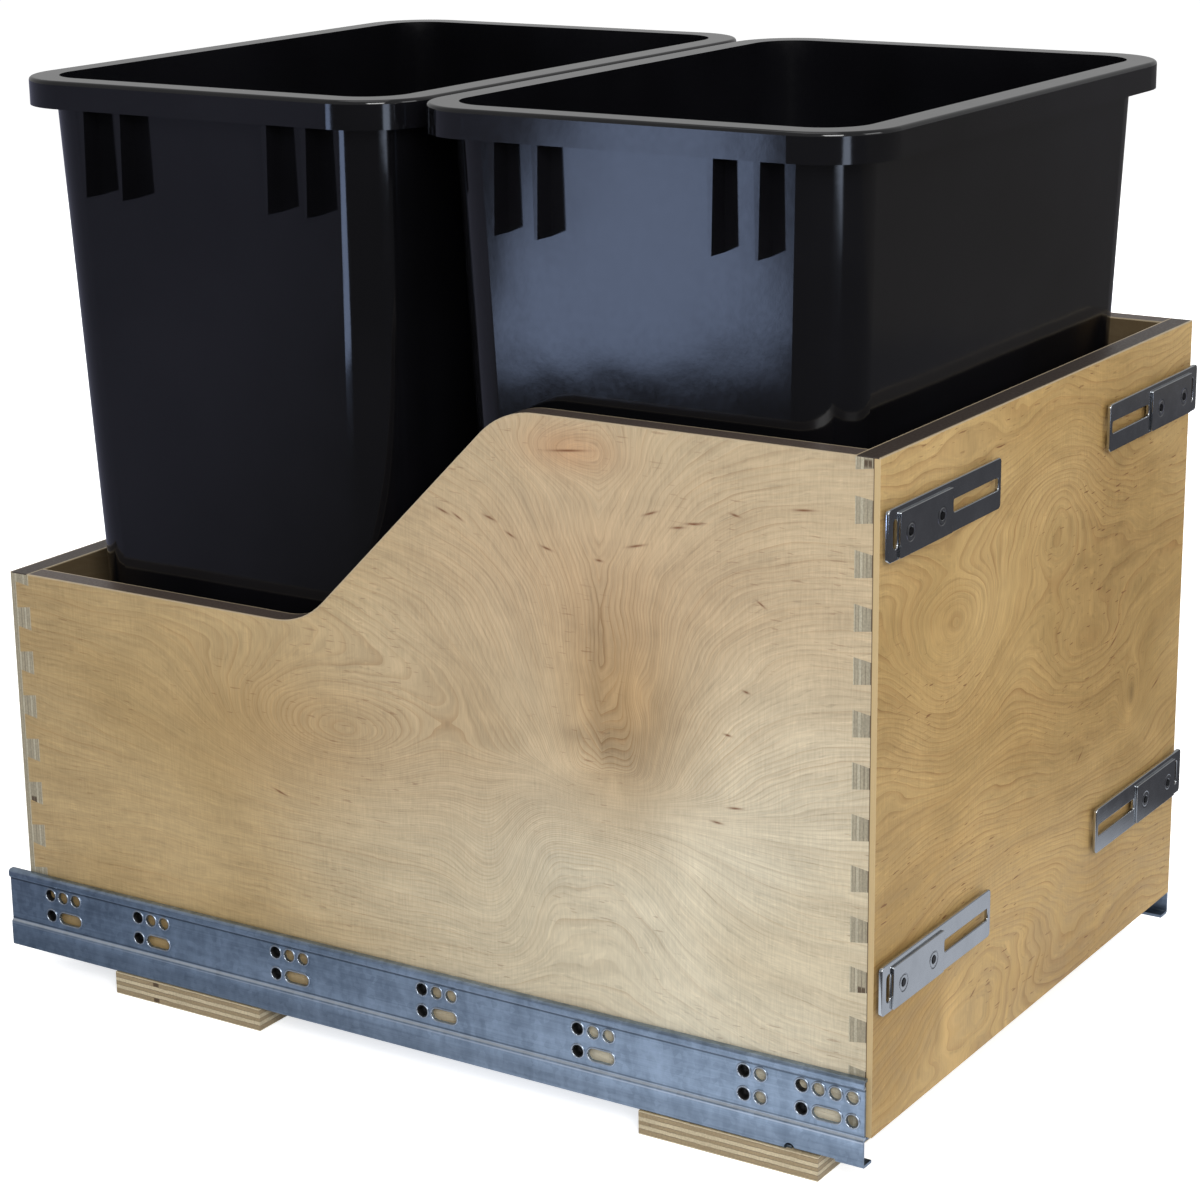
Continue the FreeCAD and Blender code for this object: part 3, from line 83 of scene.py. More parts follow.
class Recipe(Nodes):
    """A material that is written as sums over the surface."""

    def __init__(self, name):
        self.material = bpy.data.materials.new(name)
        self.material.use_nodes = True
        super().__init__(self.material.node_tree)
        self.place = self.node("ShaderNodeTexCoord").outputs

    def sum(self, kind, first, second=0.0, third=0.0):
        return self.node("ShaderNodeMath", {0: first, 1: second, 2: third}, operation=kind).outputs[0]

    def add(self, *values):
        total = values[0]
        for value in values[1:]:
            total = self.sum("ADD", total, value)
        return total

    def times(self, *values):
        total = values[0]
        for value in values[1:]:
            total = self.sum("MULTIPLY", total, value)
        return total

    def less(self, first, second):
        return self.sum("SUBTRACT", first, second)

    def split(self, vector):
        return self.node("ShaderNodeSeparateXYZ", {0: vector}).outputs

    def join(self, x, y, z=0.0):
        return self.node("ShaderNodeCombineXYZ", {0: x, 1: y, 2: z}).outputs[0]

    def ramp(self, value, low, high, first=0.0, last=1.0):
        """A soft step from first to last while the value goes from low to high."""
        limits = {0: value, 1: low, 2: high, 3: first, 4: last}
        return self.node("ShaderNodeMapRange", limits, interpolation_type="SMOOTHSTEP").outputs[0]

    def blend(self, factor, first, second, kind="MIX"):
        made = self.node("ShaderNodeMix", data_type="RGBA", blend_type=kind)
        for index, value in ((0, factor), (6, first), (7, second)):
            self.feed(made.inputs[index], value)
        return made.outputs[2]

    def grain(self, vector, scale, detail=2.0, rough=0.5, warp=0.0):
        return self.node(
            "ShaderNodeTexNoise",
            {"Vector": vector, "Scale": scale, "Detail": detail, "Roughness": rough, "Distortion": warp},
        ).outputs[0]

    def streaks(self, per_x, per_y, per_z, detail=2.0, rough=0.5):
        """Noise over the object with its own pitch on each axis."""
        x, y, z = self.split(self.place["Object"])[:3]
        where = self.join(self.times(x, per_x), self.times(y, per_y), self.times(z, per_z))
        return self.grain(where, 1.0, detail, rough)

    def cells(self, vector, scale):
        return self.node("ShaderNodeTexVoronoi", {"Vector": vector, "Scale": scale}).outputs

    def mound(self, across, up, centre, half, height=1.0, shape=2.0):
        """A soft hill; half is its reach to the sides, down and up."""
        aside = self.sum("DIVIDE", self.sum("ABSOLUTE", self.less(across, centre[0])), half[0])
        rise = self.less(up, centre[1])
        below = self.sum("DIVIDE", self.sum("MINIMUM", rise, 0.0), half[1])
        above = self.sum("DIVIDE", self.sum("MAXIMUM", rise, 0.0), half[-1])
        far = self.add(self.sum("POWER", aside, shape), self.times(below, below), self.times(above, above))
        return self.times(self.sum("EXPONENT", self.times(far, -1.0)), height)

    def bump(self, height, depth, strength=1.0, under=None):
        inputs = {"Strength": strength, "Distance": depth, "Height": height}
        if under is not None:
            inputs["Normal"] = under
        return self.node("ShaderNodeBump", inputs).outputs[0]

    def finish(self, colour, roughness, normal=None, metal=0.0, **more):
        shader = self.node("ShaderNodeBsdfPrincipled", {"Base Color": colour, "Roughness": roughness})
        shader.inputs["Metallic"].default_value = metal
        for key, value in more.items():
            shader.inputs[key.replace("_", " ")].default_value = value
        if normal is not None:
            self.feed(shader.inputs["Normal"], normal)
        self.node("ShaderNodeOutputMaterial", {0: shader.outputs[0]})
        return self.material


def put(name, data):
    """A new object in the scene."""
    made = bpy.data.objects.new(name, data)
    bpy.context.scene.collection.objects.link(made)
    return made


def baked(holder):
    """The mesh that an object's curve or modifiers give. The object itself goes."""
    mesh = bpy.data.meshes.new_from_object(holder.evaluated_get(bpy.context.evaluated_depsgraph_get()))
    bpy.data.objects.remove(holder)
    return mesh


# Plywood: a rotary-cut face with growth lines, and layers on the cut edges
PLY = 1.82 * MM
BOARD_PLY = 2.3 * MM
FACE_PLY = 0.75 * MM
PANEL_LAYERS = (tone(160, 152, 132), tone(177, 170, 150))
BOARD_LAYERS = (tone(160, 142, 112), tone(202, 188, 158))
GLUE_LINE = tone(98, 84, 66)
VOID = tone(66, 46, 30)
GROWTH_LINE = tone(138, 98, 54)
FLECK = tone(108, 62, 34)
FLECK_HALF = 0.6 * MM
WARM_STAIN = tone(160, 124, 72)
RED_STAIN = tone(186, 132, 88)
# Painted shade for the faces inside the box
INSIDE_PAINTED_SHADE = tone(72, 56, 34)
LAP = tone(196, 170, 124)


def cut_edge(wood, inside, depth, along, up, seed, ply, layers, lap):
    """The colour of a cut edge, from how far a place is inside the faces, and the wood's pores.

    lap is where a half-blind joint ends, with a dark line.
    """
    layer = wood.sum("DIVIDE", wood.less(inside, FACE_PLY), ply)
    unevenness = wood.less(wood.grain(wood.join(along, up, seed), 240.0, 2.0), 0.5)
    layer = wood.add(layer, wood.times(unevenness, 0.26))
    number = wood.sum("FLOOR", layer)
    odd = wood.sum("FLOORED_MODULO", number, 2.0)
    seam = wood.less(wood.sum("FRACT", wood.add(layer, 0.5)), 0.5)
    seam = wood.ramp(wood.sum("ABSOLUTE", seam), 0.14, 0.05)
    cut = wood.blend(odd, *layers)
    pores = wood.grain(wood.place["Object"], 900.0, 2.0, 0.7)
    stain = wood.grain(wood.place["Object"], 70.0, 2.0, 0.6)
    grey = wood.add(wood.ramp(pores, 0.25, 0.75, 0.74, 1.0), wood.ramp(stain, 0.3, 0.7, 0.0, 0.16))
    cut = wood.blend(1.0, cut, wood.join(grey, grey, grey), "MULTIPLY")
    cut = wood.blend(wood.times(seam, wood.ramp(stain, 0.35, 0.6, 0.20, 0.65)), cut, GLUE_LINE)
    hollow = wood.join(wood.times(along, 70.0), wood.times(up, 70.0), wood.times(number, 7.3))
    hollow = wood.ramp(wood.grain(hollow, 1.0, 1.0), 0.69, 0.73)
    hollow = wood.times(hollow, wood.less(1.0, odd))
    cut = wood.blend(wood.times(hollow, 0.85), cut, VOID)
    if lap is not None:
        cut = wood.blend(wood.ramp(depth, lap + 0.3 * MM, lap - 0.2 * MM, 0.0, 0.85), cut, LAP)
        joint = wood.ramp(wood.sum("ABSOLUTE", wood.less(depth, lap)), 0.7 * MM, 0.2 * MM, 0.0, 0.85)
        cut = wood.blend(joint, cut, VOID)
    return cut, pores


def birch(
    name, thick_axis, node, lines, wandering, pale, warm, seed, drawn=0.27, dashes=0.35,
    hills=(), figured=(), tones_and_painted_light=(), stains=(), flecks=(), ply=PLY, layers=PANEL_LAYERS, lap=None,
):
    """A plywood panel: its faces have growth lines, and its cut edges show the plies.

    lines is how many growth lines cross a metre, wandering how far they stray and drawn how dark
    they are. hills bend them, and figured makes them stronger or fainter. stains tint the face, and
    its soft brighter and darker patches are painted light and shade. flecks are short dark marks:
    centre, half length in millimetres and slope.
    """
    wood = Recipe(name)
    x, y, z = wood.split(wood.place["Object"])[:3]
    depth, along, up = {"X": (x, y, z), "Y": (y, x, z), "Z": (z, x, y)}[thick_axis]
    normal = wood.split(wood.place["Normal"])["XYZ".index(thick_axis)]
    on_face = wood.ramp(wood.sum("ABSOLUTE", normal), 0.68, 0.72)

    def stretched(rise, per_along, per_rise, detail=2.0, rough=0.5, warp=0.0, shift=0.0):
        """Noise from -0.5 to 0.5 with its own pitch along and across the grain."""
        where = wood.join(wood.times(along, per_along), wood.times(rise, per_rise), seed + shift)
        return wood.less(wood.grain(where, 1.0, detail, rough, warp), 0.5)

    field = wood.add(
        wood.times(up, lines), wood.times(stretched(up, 3.0, 8.0, 3.0), wandering),
        wood.times(stretched(up, 22.0, 40.0), 0.55),
    )
    for centre, half, height, shape in hills:
        field = wood.add(field, wood.mound(along, up, centre, half, height, shape))
    bent = wood.times(field, 1.0 / lines)

    fade = wood.ramp(stretched(up, 9.0, 14.0, 2.0, shift=1.0), -0.22, 0.10)
    patchy = wood.ramp(stretched(up, 14.0, 30.0, 2.0, shift=10.0), -0.10, 0.14)
    line = wood.times(wood.sum("POWER", wood.sum("FRACT", wood.times(field, 3.0)), 4.0), fade)
    bold = wood.times(wood.sum("POWER", wood.sum("FRACT", field), 14.0), patchy)
    for centre, half, strength in figured:
        line = wood.times(line, wood.add(1.0, wood.mound(along, up, centre, half, strength)))
    broad = wood.sum("POWER", wood.sum("FRACT", wood.times(field, 0.37)), 3.0)
    patches = stretched(bent, 9.0, 75.0, 3.0, 0.6, shift=11.0)
    fibre = stretched(bent, 60.0, 900.0, 2.0, 0.6)
    silk = stretched(bent, 26.0, 240.0, 3.0, 0.6, 0.5, 2.0)
    comb = stretched(up, 1100.0, 90.0, 2.0, shift=4.0)
    wave = stretched(up, 17.0, 32.0, 2.0, 0.5, 1.7, 3.0)
    cloud = stretched(up, 5.0, 7.0, 2.0, shift=5.0)
    bright_dash = wood.ramp(stretched(bent, 130.0, 800.0, 1.0, shift=6.0), 0.12, 0.22)
    dark_dash = wood.ramp(stretched(bent, 110.0, 700.0, 1.0, shift=7.0), 0.13, 0.24)

    face = wood.blend(wood.ramp(cloud, -0.16, 0.16), warm(wood, along, up), pale(wood, along, up))
    for centre, half, strength, colour in stains:
        face = wood.blend(wood.mound(along, up, centre, half, strength), face, colour)
    face = wood.blend(wood.times(line, drawn), face, GROWTH_LINE)
    face = wood.blend(wood.times(bold, drawn * 1.2), face, GROWTH_LINE)
    face = wood.blend(wood.times(broad, drawn * 0.35), face, GROWTH_LINE)
    bright = wood.add(
        1.0, wood.times(fibre, 0.36), wood.times(silk, 0.36), wood.times(comb, 0.32), wood.times(wave, 0.26),
        wood.times(bright_dash, 0.09), wood.times(dark_dash, -0.13), wood.times(patches, 0.18),
    )
    # Painted light and shade: soft patches of the face made brighter or darker
    for centre, half, strength in tones_and_painted_light:
        bright = wood.add(bright, wood.mound(along, up, centre, half, strength))
    face = wood.blend(1.0, face, wood.join(bright, bright, bright), "MULTIPLY")
    speck = wood.ramp(stretched(up, 95.0, 700.0, 1.0, 0.4, shift=8.0), 0.17, 0.23)
    where = wood.ramp(stretched(up, 9.0, 12.0, 1.0, shift=9.0), -0.06, 0.12)
    marks = wood.times(speck, where, dashes)
    for centre, half, slope in flecks:
        level = wood.less(up, wood.times(wood.less(along, centre[0]), slope))
        marks = wood.add(marks, wood.mound(along, level, centre, (half * MM, FLECK_HALF), 0.9))
    face = wood.blend(wood.sum("MINIMUM", marks, 0.9), face, FLECK)

    low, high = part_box(node)
    axis = "XYZ".index(thick_axis)
    # Painted shade: the faces inside the box are darkened towards dark brown
    if thick_axis != "Z":
        inward = -1.0 if low[axis] + high[axis] > 0 else 1.0
        facing_in = wood.ramp(wood.times(normal, inward), 0.68, 0.72)
        face = wood.blend(wood.times(facing_in, 0.88), face, INSIDE_PAINTED_SHADE)
    inside = wood.sum("MINIMUM", wood.less(depth, low[axis]), wood.less(high[axis], depth))
    cut, pores = cut_edge(wood, inside, depth, along, up, seed, ply, layers, lap)

    colour = wood.blend(on_face, cut, face)
    relief = wood.add(
        wood.times(fibre, 0.6), wood.times(silk, 0.5), wood.times(line, -0.3), wood.times(pores, 0.2)
    )
    rough = wood.ramp(wood.add(silk, wave), -0.3, 0.3, 0.42, 0.58)
    return wood.finish(colour, rough, wood.bump(relief, 0.12 * MM, 0.5), Specular_IOR_Level=0.3)


def even(colour):
    """The same colour all over a face."""
    return lambda wood, along, up: colour


def side_tone_with_painted_light(high, low, rear):
    """Painted sheen low at the front, warmer higher up, warmer and darker towards the back as painted shade.
    """
    def colour(wood, along, up):
        front = wood.blend(wood.ramp(up, 0.30, 0.12), high, low)
        return wood.blend(wood.ramp(along, -0.06, 0.16), front, rear)
    return colour


side_pale = side_tone_with_painted_light(tone(192, 174, 144), tone(211, 203, 181), tone(184, 160, 118))
side_warm = side_tone_with_painted_light(tone(186, 168, 138), tone(200, 188, 162), tone(171, 146, 102))
left_look = {
    "drawn": 0.22,
    "figured": (
        ((-0.105, 0.215), (0.050, 0.070), 1.8),
        ((-0.040, 0.150), (0.050, 0.030), 0.6),
        ((0.060, 0.180), (0.060, 0.030), 1.0),
        ((-0.130, 0.100), (0.110, 0.045), -0.75),
    ),
    "hills": (
        ((-0.098, 0.188), (0.060, 0.017, 0.165), 16.0, 1.3),
        ((-0.084, 0.184), (0.013, 0.014, 0.045), 3.5, 1.6),
        ((-0.117, 0.192), (0.016, 0.015, 0.060), 5.0, 1.8),
        ((-0.119, 0.230), (0.007, 0.016, 0.020), -2.0, 2.0),
        ((0.068, 0.176), (0.080, 0.034, 0.034), 10.0, 2.0),
        ((-0.081, 0.345), (0.026, 0.011, 0.011), 3.6, 2.0),
        ((-0.100, 0.135), (0.055, 0.060, 0.030), -5.5, 2.0),
        ((-0.032, 0.140), (0.022, 0.050, 0.040), 3.5, 2.0),
        ((-0.064, 0.130), (0.016, 0.045, 0.040), -1.5, 2.0),
    ),
    # Painted light and shade round the burl and low down, and a darker rear end
    "tones_and_painted_light": (
        ((-0.095, 0.243), (0.006, 0.034), -0.15),
        ((-0.120, 0.227), (0.006, 0.014), 0.24),
        ((-0.128, 0.219), (0.015, 0.032), -0.11),
        ((-0.111, 0.196), (0.012, 0.013), -0.16),
        ((-0.101, 0.199), (0.005, 0.009), -0.18),
        ((-0.088, 0.216), (0.005, 0.011), 0.18),
        ((-0.083, 0.203), (0.009, 0.004), -0.16),
        ((-0.078, 0.188), (0.018, 0.007), 0.18),
        ((-0.070, 0.226), (0.007, 0.024), 0.10),
        ((-0.105, 0.178), (0.004, 0.010), 0.12),
        ((-0.172, 0.196), (0.012, 0.034), 0.09),
        ((-0.150, 0.142), (0.010, 0.026), 0.10),
        ((-0.120, 0.118), (0.024, 0.010), 0.08),
        ((0.280, 0.150), (0.040, 0.300), -0.08),
    ),
    "stains": (
        ((-0.108, 0.222), (0.046, 0.058), 0.72, WARM_STAIN),
        ((0.075, 0.178), (0.090, 0.045), 0.46, WARM_STAIN),
        ((-0.020, 0.200), (0.045, 0.060), 0.40, WARM_STAIN),
        ((-0.095, 0.290), (0.110, 0.050), 0.16, RED_STAIN),
        ((-0.081, 0.346), (0.028, 0.012), 0.45, RED_STAIN),
    ),
    "flecks": (
        ((-0.007, 0.306), 3.6, 0.35), ((-0.016, 0.304), 3.0, 0.55), ((-0.035, 0.306), 3.2, 0.30),
        ((-0.047, 0.299), 2.6, 0.45), ((-0.068, 0.295), 3.0, 0.25), ((-0.098, 0.293), 2.0, 0.05),
        ((-0.119, 0.303), 4.6, -0.25), ((-0.127, 0.320), 3.6, -0.35), ((-0.142, 0.315), 3.4, -0.15),
        ((-0.151, 0.318), 4.8, -0.12), ((-0.173, 0.325), 2.6, 0.20), ((-0.209, 0.332), 5.4, -0.10),
        ((-0.187, 0.284), 2.2, 0.60), ((-0.179, 0.240), 1.8, 0.20), ((-0.169, 0.217), 2.0, 0.10),
        ((-0.173, 0.181), 4.0, -0.10), ((-0.163, 0.172), 3.2, 0.05), ((0.103, 0.139), 4.2, 0.30),
        ((-0.081, 0.345), 10.0, -0.11),
    ),
}
front_look = {
    "drawn": 0.42,
    "dashes": 0.75,
    "lap": -244.5 * MM,
    "hills": (
        ((-0.105, 0.255), (0.055, 0.055, 0.032), 6.0, 2.0),
        ((0.015, 0.300), (0.050, 0.030, 0.040), -3.0, 2.0),
        ((0.1176, 0.1625), (0.013, 0.011, 0.018), 5.0, 2.0),
        ((0.066, 0.196), (0.075, 0.055, 0.050), 3.0, 2.0),
        ((-0.060, 0.080), (0.080, 0.040, 0.050), -3.0, 2.0),
    ),
    # Painted light and shade: a pale patch low on the left, darker patches towards both ends and across the
    # middle, and a dark and a light spot on the right
    "tones_and_painted_light": (
        ((-0.102, 0.058), (0.011, 0.020), 0.24),
        ((-0.114, 0.060), (0.004, 0.018), -0.14),
        ((-0.172, 0.170), (0.030, 0.160), -0.10),
        ((0.110, 0.220), (0.080, 0.150), -0.10),
        ((0.1176, 0.1660), (0.003, 0.006), -0.35),
        ((0.1150, 0.1560), (0.005, 0.006), 0.18),
        ((0.030, 0.150), (0.060, 0.050), -0.06),
        ((0.060, 0.260), (0.050, 0.040), -0.05),
    ),
    "flecks": (
        ((0.090, 0.203), 4.0, 0.5), ((0.093, 0.210), 3.0, 0.9), ((0.152, 0.163), 4.0, 0.4),
        ((-0.075, 0.062), 3.0, 0.5), ((0.050, 0.150), 3.0, 0.7), ((-0.147, 0.330), 4.0, 0.2),
    ),
}
front_pale = even(tone(190, 160, 108))
front_warm = even(tone(172, 141, 88))
plain_pale = even(tone(198, 182, 150))
plain_warm = even(tone(182, 161, 122))

board_look = {"ply": BOARD_PLY, "layers": BOARD_LAYERS}
plywood = {
    node: birch(name, axis, node, lines, wandering, pale, warm, seed, **look)
    for node, name, axis, lines, wandering, pale, warm, seed, look in (
        ("left_side", "birch_left", "X", 110.0, 6.0, side_pale, side_warm, 0.0, left_look),
        ("right_side", "birch_right", "X", 80.0, 10.0, plain_pale, plain_warm, 30.0, {}),
        ("front_panel", "birch_front", "Y", 70.0, 8.0, front_pale, front_warm, 61.0, front_look),
        ("back_panel", "birch_back", "Y", 80.0, 11.0, plain_pale, plain_warm, 92.0, {}),
        ("bottom_panel", "birch_bottom", "Z", 70.0, 10.0, plain_pale, plain_warm, 123.0, {}),
        ("front_cross_board", "birch_board", "Z", 80.0, 9.0, plain_pale, plain_warm, 154.0, board_look),
    )
}
plywood["rear_cross_board"] = plywood["front_cross_board"]


def edge_band(name, inward, middle, dark, light):
    """Tape on a top edge, its tone darkened to brown as painted shade, with a pale line along its outer side.
    """
    tape = Recipe(name)
    place = tape.split(tape.place["Object"])
    from_middle = tape.sum("ABSOLUTE", tape.less(place["XYZ".index(inward)], middle))
    outer = tape.ramp(from_middle, 5.4 * MM, 5.7 * MM)
    fleck = tape.grain(tape.place["Object"], 700.0, 3.0, 0.7)
    cloud = tape.grain(tape.place["Object"], 14.0, 2.0)
    brown = tape.blend(cloud, dark, light)
    brown = tape.blend(tape.times(fleck, 0.35), brown, tone(54, 44, 38))
    colour = tape.blend(tape.times(outer, 0.8), brown, tone(196, 178, 146))
    return tape.finish(colour, tape.ramp(fleck, 0.2, 0.8, 0.32, 0.5), tape.bump(fleck, 0.03 * MM, 0.4))


def middle_of(node, axis):
    low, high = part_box(node)
    return (low["XYZ".index(axis)] + high["XYZ".index(axis)]) / 2


# Tape tones, darkened as painted shade; the front and back tapes are darker than the side ones
side_tape = (tone(80, 69, 62), tone(96, 84, 77))
end_tape = (tone(56, 47, 41), tone(70, 60, 53))
bands = {
    node: edge_band(node + "_tape", axis, middle_of(node, axis), *tones_and_painted_light)
    for node, axis, tones_and_painted_light in (
        ("left_edge_band", "X", side_tape), ("right_edge_band", "X", side_tape),
        ("front_edge_band", "Y", end_tape), ("back_edge_band", "Y", end_tape),
    )
}


# Painted shade and painted highlight for lines on steel
PAINTED_SHADE_LINE = tone(30, 36, 44)
PAINTED_HIGHLIGHT_LINE = tone(236, 242, 250)


def zinc_sheet(name, dull, clean, rough_low, rough_high, spangle, painted_lines=()):
    """Galvanised or plated steel, drawn along Y.

    A painted line lies at a height: height and half width in millimetres, and its strength, which
    is above zero where the line is painted shade and below zero where it is a painted highlight.
    """
    steel = Recipe(name)
    z = steel.split(steel.place["Object"])[2]
    drawn = steel.streaks(900.0, 7.0, 900.0, 3.0, 0.6)
    flakes = steel.cells(steel.place["Object"], 330.0)[1]
    flake = steel.node("ShaderNodeSeparateColor", {0: flakes}).outputs[0]
    cloud = steel.streaks(16.0, 7.0, 40.0, 4.0, 0.65)
    runs = steel.streaks(60.0, 110.0, 30.0, 3.0, 0.6)
    mix = steel.add(
        steel.times(flake, spangle), steel.times(drawn, 0.2), steel.times(runs, 0.3),
        steel.times(cloud, 0.5 - spangle),
    )
    colour = steel.blend(steel.ramp(mix, 0.32, 0.68), dull, clean)
    # Painted shade and highlights along lines at set heights
    for height, half, strength in painted_lines:
        far = steel.sum("ABSOLUTE", steel.less(z, height * MM))
        near = steel.ramp(far, half * MM, 0.25 * half * MM)
        shade = PAINTED_SHADE_LINE if strength > 0 else PAINTED_HIGHLIGHT_LINE
        colour = steel.blend(steel.times(near, abs(strength)), colour, shade)
    gloss = steel.add(steel.times(flake, 0.3), steel.times(cloud, 0.7))
    rough = steel.ramp(gloss, 0.2, 0.8, rough_low, rough_high)
    return steel.finish(colour, rough, steel.bump(drawn, 0.03 * MM, 0.2), 1.0)


# Painted shade over the lower band, shade and highlights at the web's step, shade and a highlight at the top
# lip
rail_painted_lines = (
    (17.0, 9.0, 0.24), (29.3, 0.7, 0.50), (28.1, 0.9, -0.55),
    (26.4, 0.6, -0.30), (53.0, 0.7, 0.6), (54.0, 0.5, -0.45),
)
rail_steel = zinc_sheet(
    "galvanised_rail", tone(120, 135, 153), tone(168, 185, 206), 0.34, 0.46, 0.08, rail_painted_lines
)
slide_steel = zinc_sheet("galvanised_slide", tone(126, 138, 154), tone(156, 170, 188), 0.34, 0.46, 0.08)
# The hole rims: real rims, in a lighter steel tone that is a painted highlight
rim_steel_painted_highlight = zinc_sheet("rim_with_painted_highlight", tone(150, 160, 174), tone(188, 197, 208), 0.28, 0.4, 0.08)
screw_steel = zinc_sheet("plated_screws", tone(150, 150, 146), tone(190, 190, 184), 0.25, 0.38, 0.1)
dark_screw_steel = zinc_sheet("black_oxide_screws", tone(34, 34, 36), tone(56, 56, 58), 0.35, 0.5, 0.1)
rod_steel = zinc_sheet("polished_rod", tone(165, 168, 172), tone(200, 202, 206), 0.12, 0.22, 0.05)


# Door brackets, in millimetres: their lower edges, and each one's screws
BRACKET_LOWS = {"upper": 312.0, "lower": 90.5}
SCREWS = (163.15, 131.15)
SCREW_RISE = 11.2
SCREW_HOLE = 4.4


def plated_bracket():
    """Bright nickel plate, with a pressed ring round each screw hole that is darkened as painted shade."""
    plate = Recipe("plated_bracket")
    x, _, z = plate.split(plate.place["Object"])[:3]
    outer, inner = SCREWS
    top, bottom = BRACKET_LOWS["upper"] + SCREW_RISE, BRACKET_LOWS["lower"] + SCREW_RISE
    to_middle = plate.sum("ABSOLUTE", plate.less(plate.sum("ABSOLUTE", x), (outer + inner) / 2 * MM))
    across = plate.less(to_middle, (outer - inner) / 2 * MM)
    to_middle = plate.sum("ABSOLUTE", plate.less(z, (top + bottom) / 2 * MM))
    up = plate.less(to_middle, (top - bottom) / 2 * MM)
    far = plate.sum("SQRT", plate.add(plate.times(across, across), plate.times(up, up)))
    ring = plate.times(plate.ramp(far, 3.4 * MM, 4.0 * MM), plate.ramp(far, 5.0 * MM, 4.3 * MM))
    haze = plate.grain(plate.place["Object"], 60.0, 4.0, 0.6)
    fine = plate.streaks(90.0, 90.0, 1600.0)
    colour = plate.blend(haze, tone(166, 169, 172), tone(198, 201, 204))
    # Painted shade in the pressed rings
    colour = plate.blend(plate.times(ring, 0.35), colour, tone(96, 98, 104))
    rough = plate.ramp(plate.add(haze, plate.times(ring, 0.3)), 0.3, 0.9, 0.10, 0.24)
    height = plate.add(plate.times(ring, -1.0), plate.times(fine, 0.05))
    return plate.finish(colour, rough, plate.bump(height, 0.25 * MM, 0.6), 1.0)


bracket_steel = plated_bracket()


def moulded(name, dark, light, rough_low, rough_high, grain_size, depth, **more):
    """Moulded plastic with a fine skin and slow changes of gloss."""
    resin = Recipe(name)
    skin = resin.grain(resin.place["Object"], grain_size, 3.0, 0.6)
    slow = resin.grain(resin.place["Object"], 6.0, 3.0, 0.55)
    colour = resin.blend(resin.ramp(slow, 0.3, 0.7), dark, light)
    gloss = resin.add(resin.times(slow, 0.7), resin.times(skin, 0.3))
    rough = resin.ramp(gloss, 0.3, 0.7, rough_low, rough_high)
    sway = resin.bump(resin.grain(resin.place["Object"], 11.0, 2.0), 0.9 * MM, 0.5)
    return resin.finish(colour, rough, resin.bump(skin, depth, 0.35, sway), **more)


bin_plastic = moulded(
    "black_bin", tone(8, 8, 10), tone(15, 15, 18), 0.07, 0.13, 260.0, 0.02 * MM, Specular_IOR_Level=0.5
)
cage_plastic = moulded("white_cage", tone(206, 204, 196), tone(224, 222, 214), 0.4, 0.5, 900.0, 0.03 * MM)
roller_plastic = moulded("ivory_roller", tone(196, 190, 172), tone(214, 208, 192), 0.3, 0.4, 900.0, 0.02 * MM)
clip_plastic = moulded("grey_clip", tone(64, 66, 70), tone(84, 86, 90), 0.4, 0.52, 1100.0, 0.04 * MM)
lever_plastic = moulded("orange_lever", tone(196, 92, 30), tone(212, 110, 42), 0.38, 0.5, 1100.0, 0.04 * MM)
pad_plastic = moulded("black_pad", tone(26, 26, 28), tone(38, 38, 40), 0.5, 0.6, 1100.0, 0.04 * MM)

finishes = {
    "slide_steel": slide_steel, "bracket_steel": bracket_steel, "screw_steel": screw_steel,
    "damper_steel": rod_steel, "spacer_plastic": pad_plastic, "cage_plastic": cage_plastic,
    "roller_plastic": roller_plastic, "clip_plastic": clip_plastic, "lever_plastic": lever_plastic,
    "bin_plastic": bin_plastic,
}
own_finishes = {
    **plywood, **bands, "left_cabinet_member": rail_steel, "right_cabinet_member": rail_steel,
    "bracket_screws": dark_screw_steel,
}


def dress(name, material):
    for holder in frame["nodes"][name].material_slots:
        holder.material = material


for part in frame["record"]["subparts"]:
    name = part["node"]
    dress(name, own_finishes.get(name) or finishes[part["material_slot"]])


# Rims of the slides' screw holes, and dark sleeves and backs in some of them as painted shade,
# each one ring along a round or long hole
NEAR_HALF = 0.4999


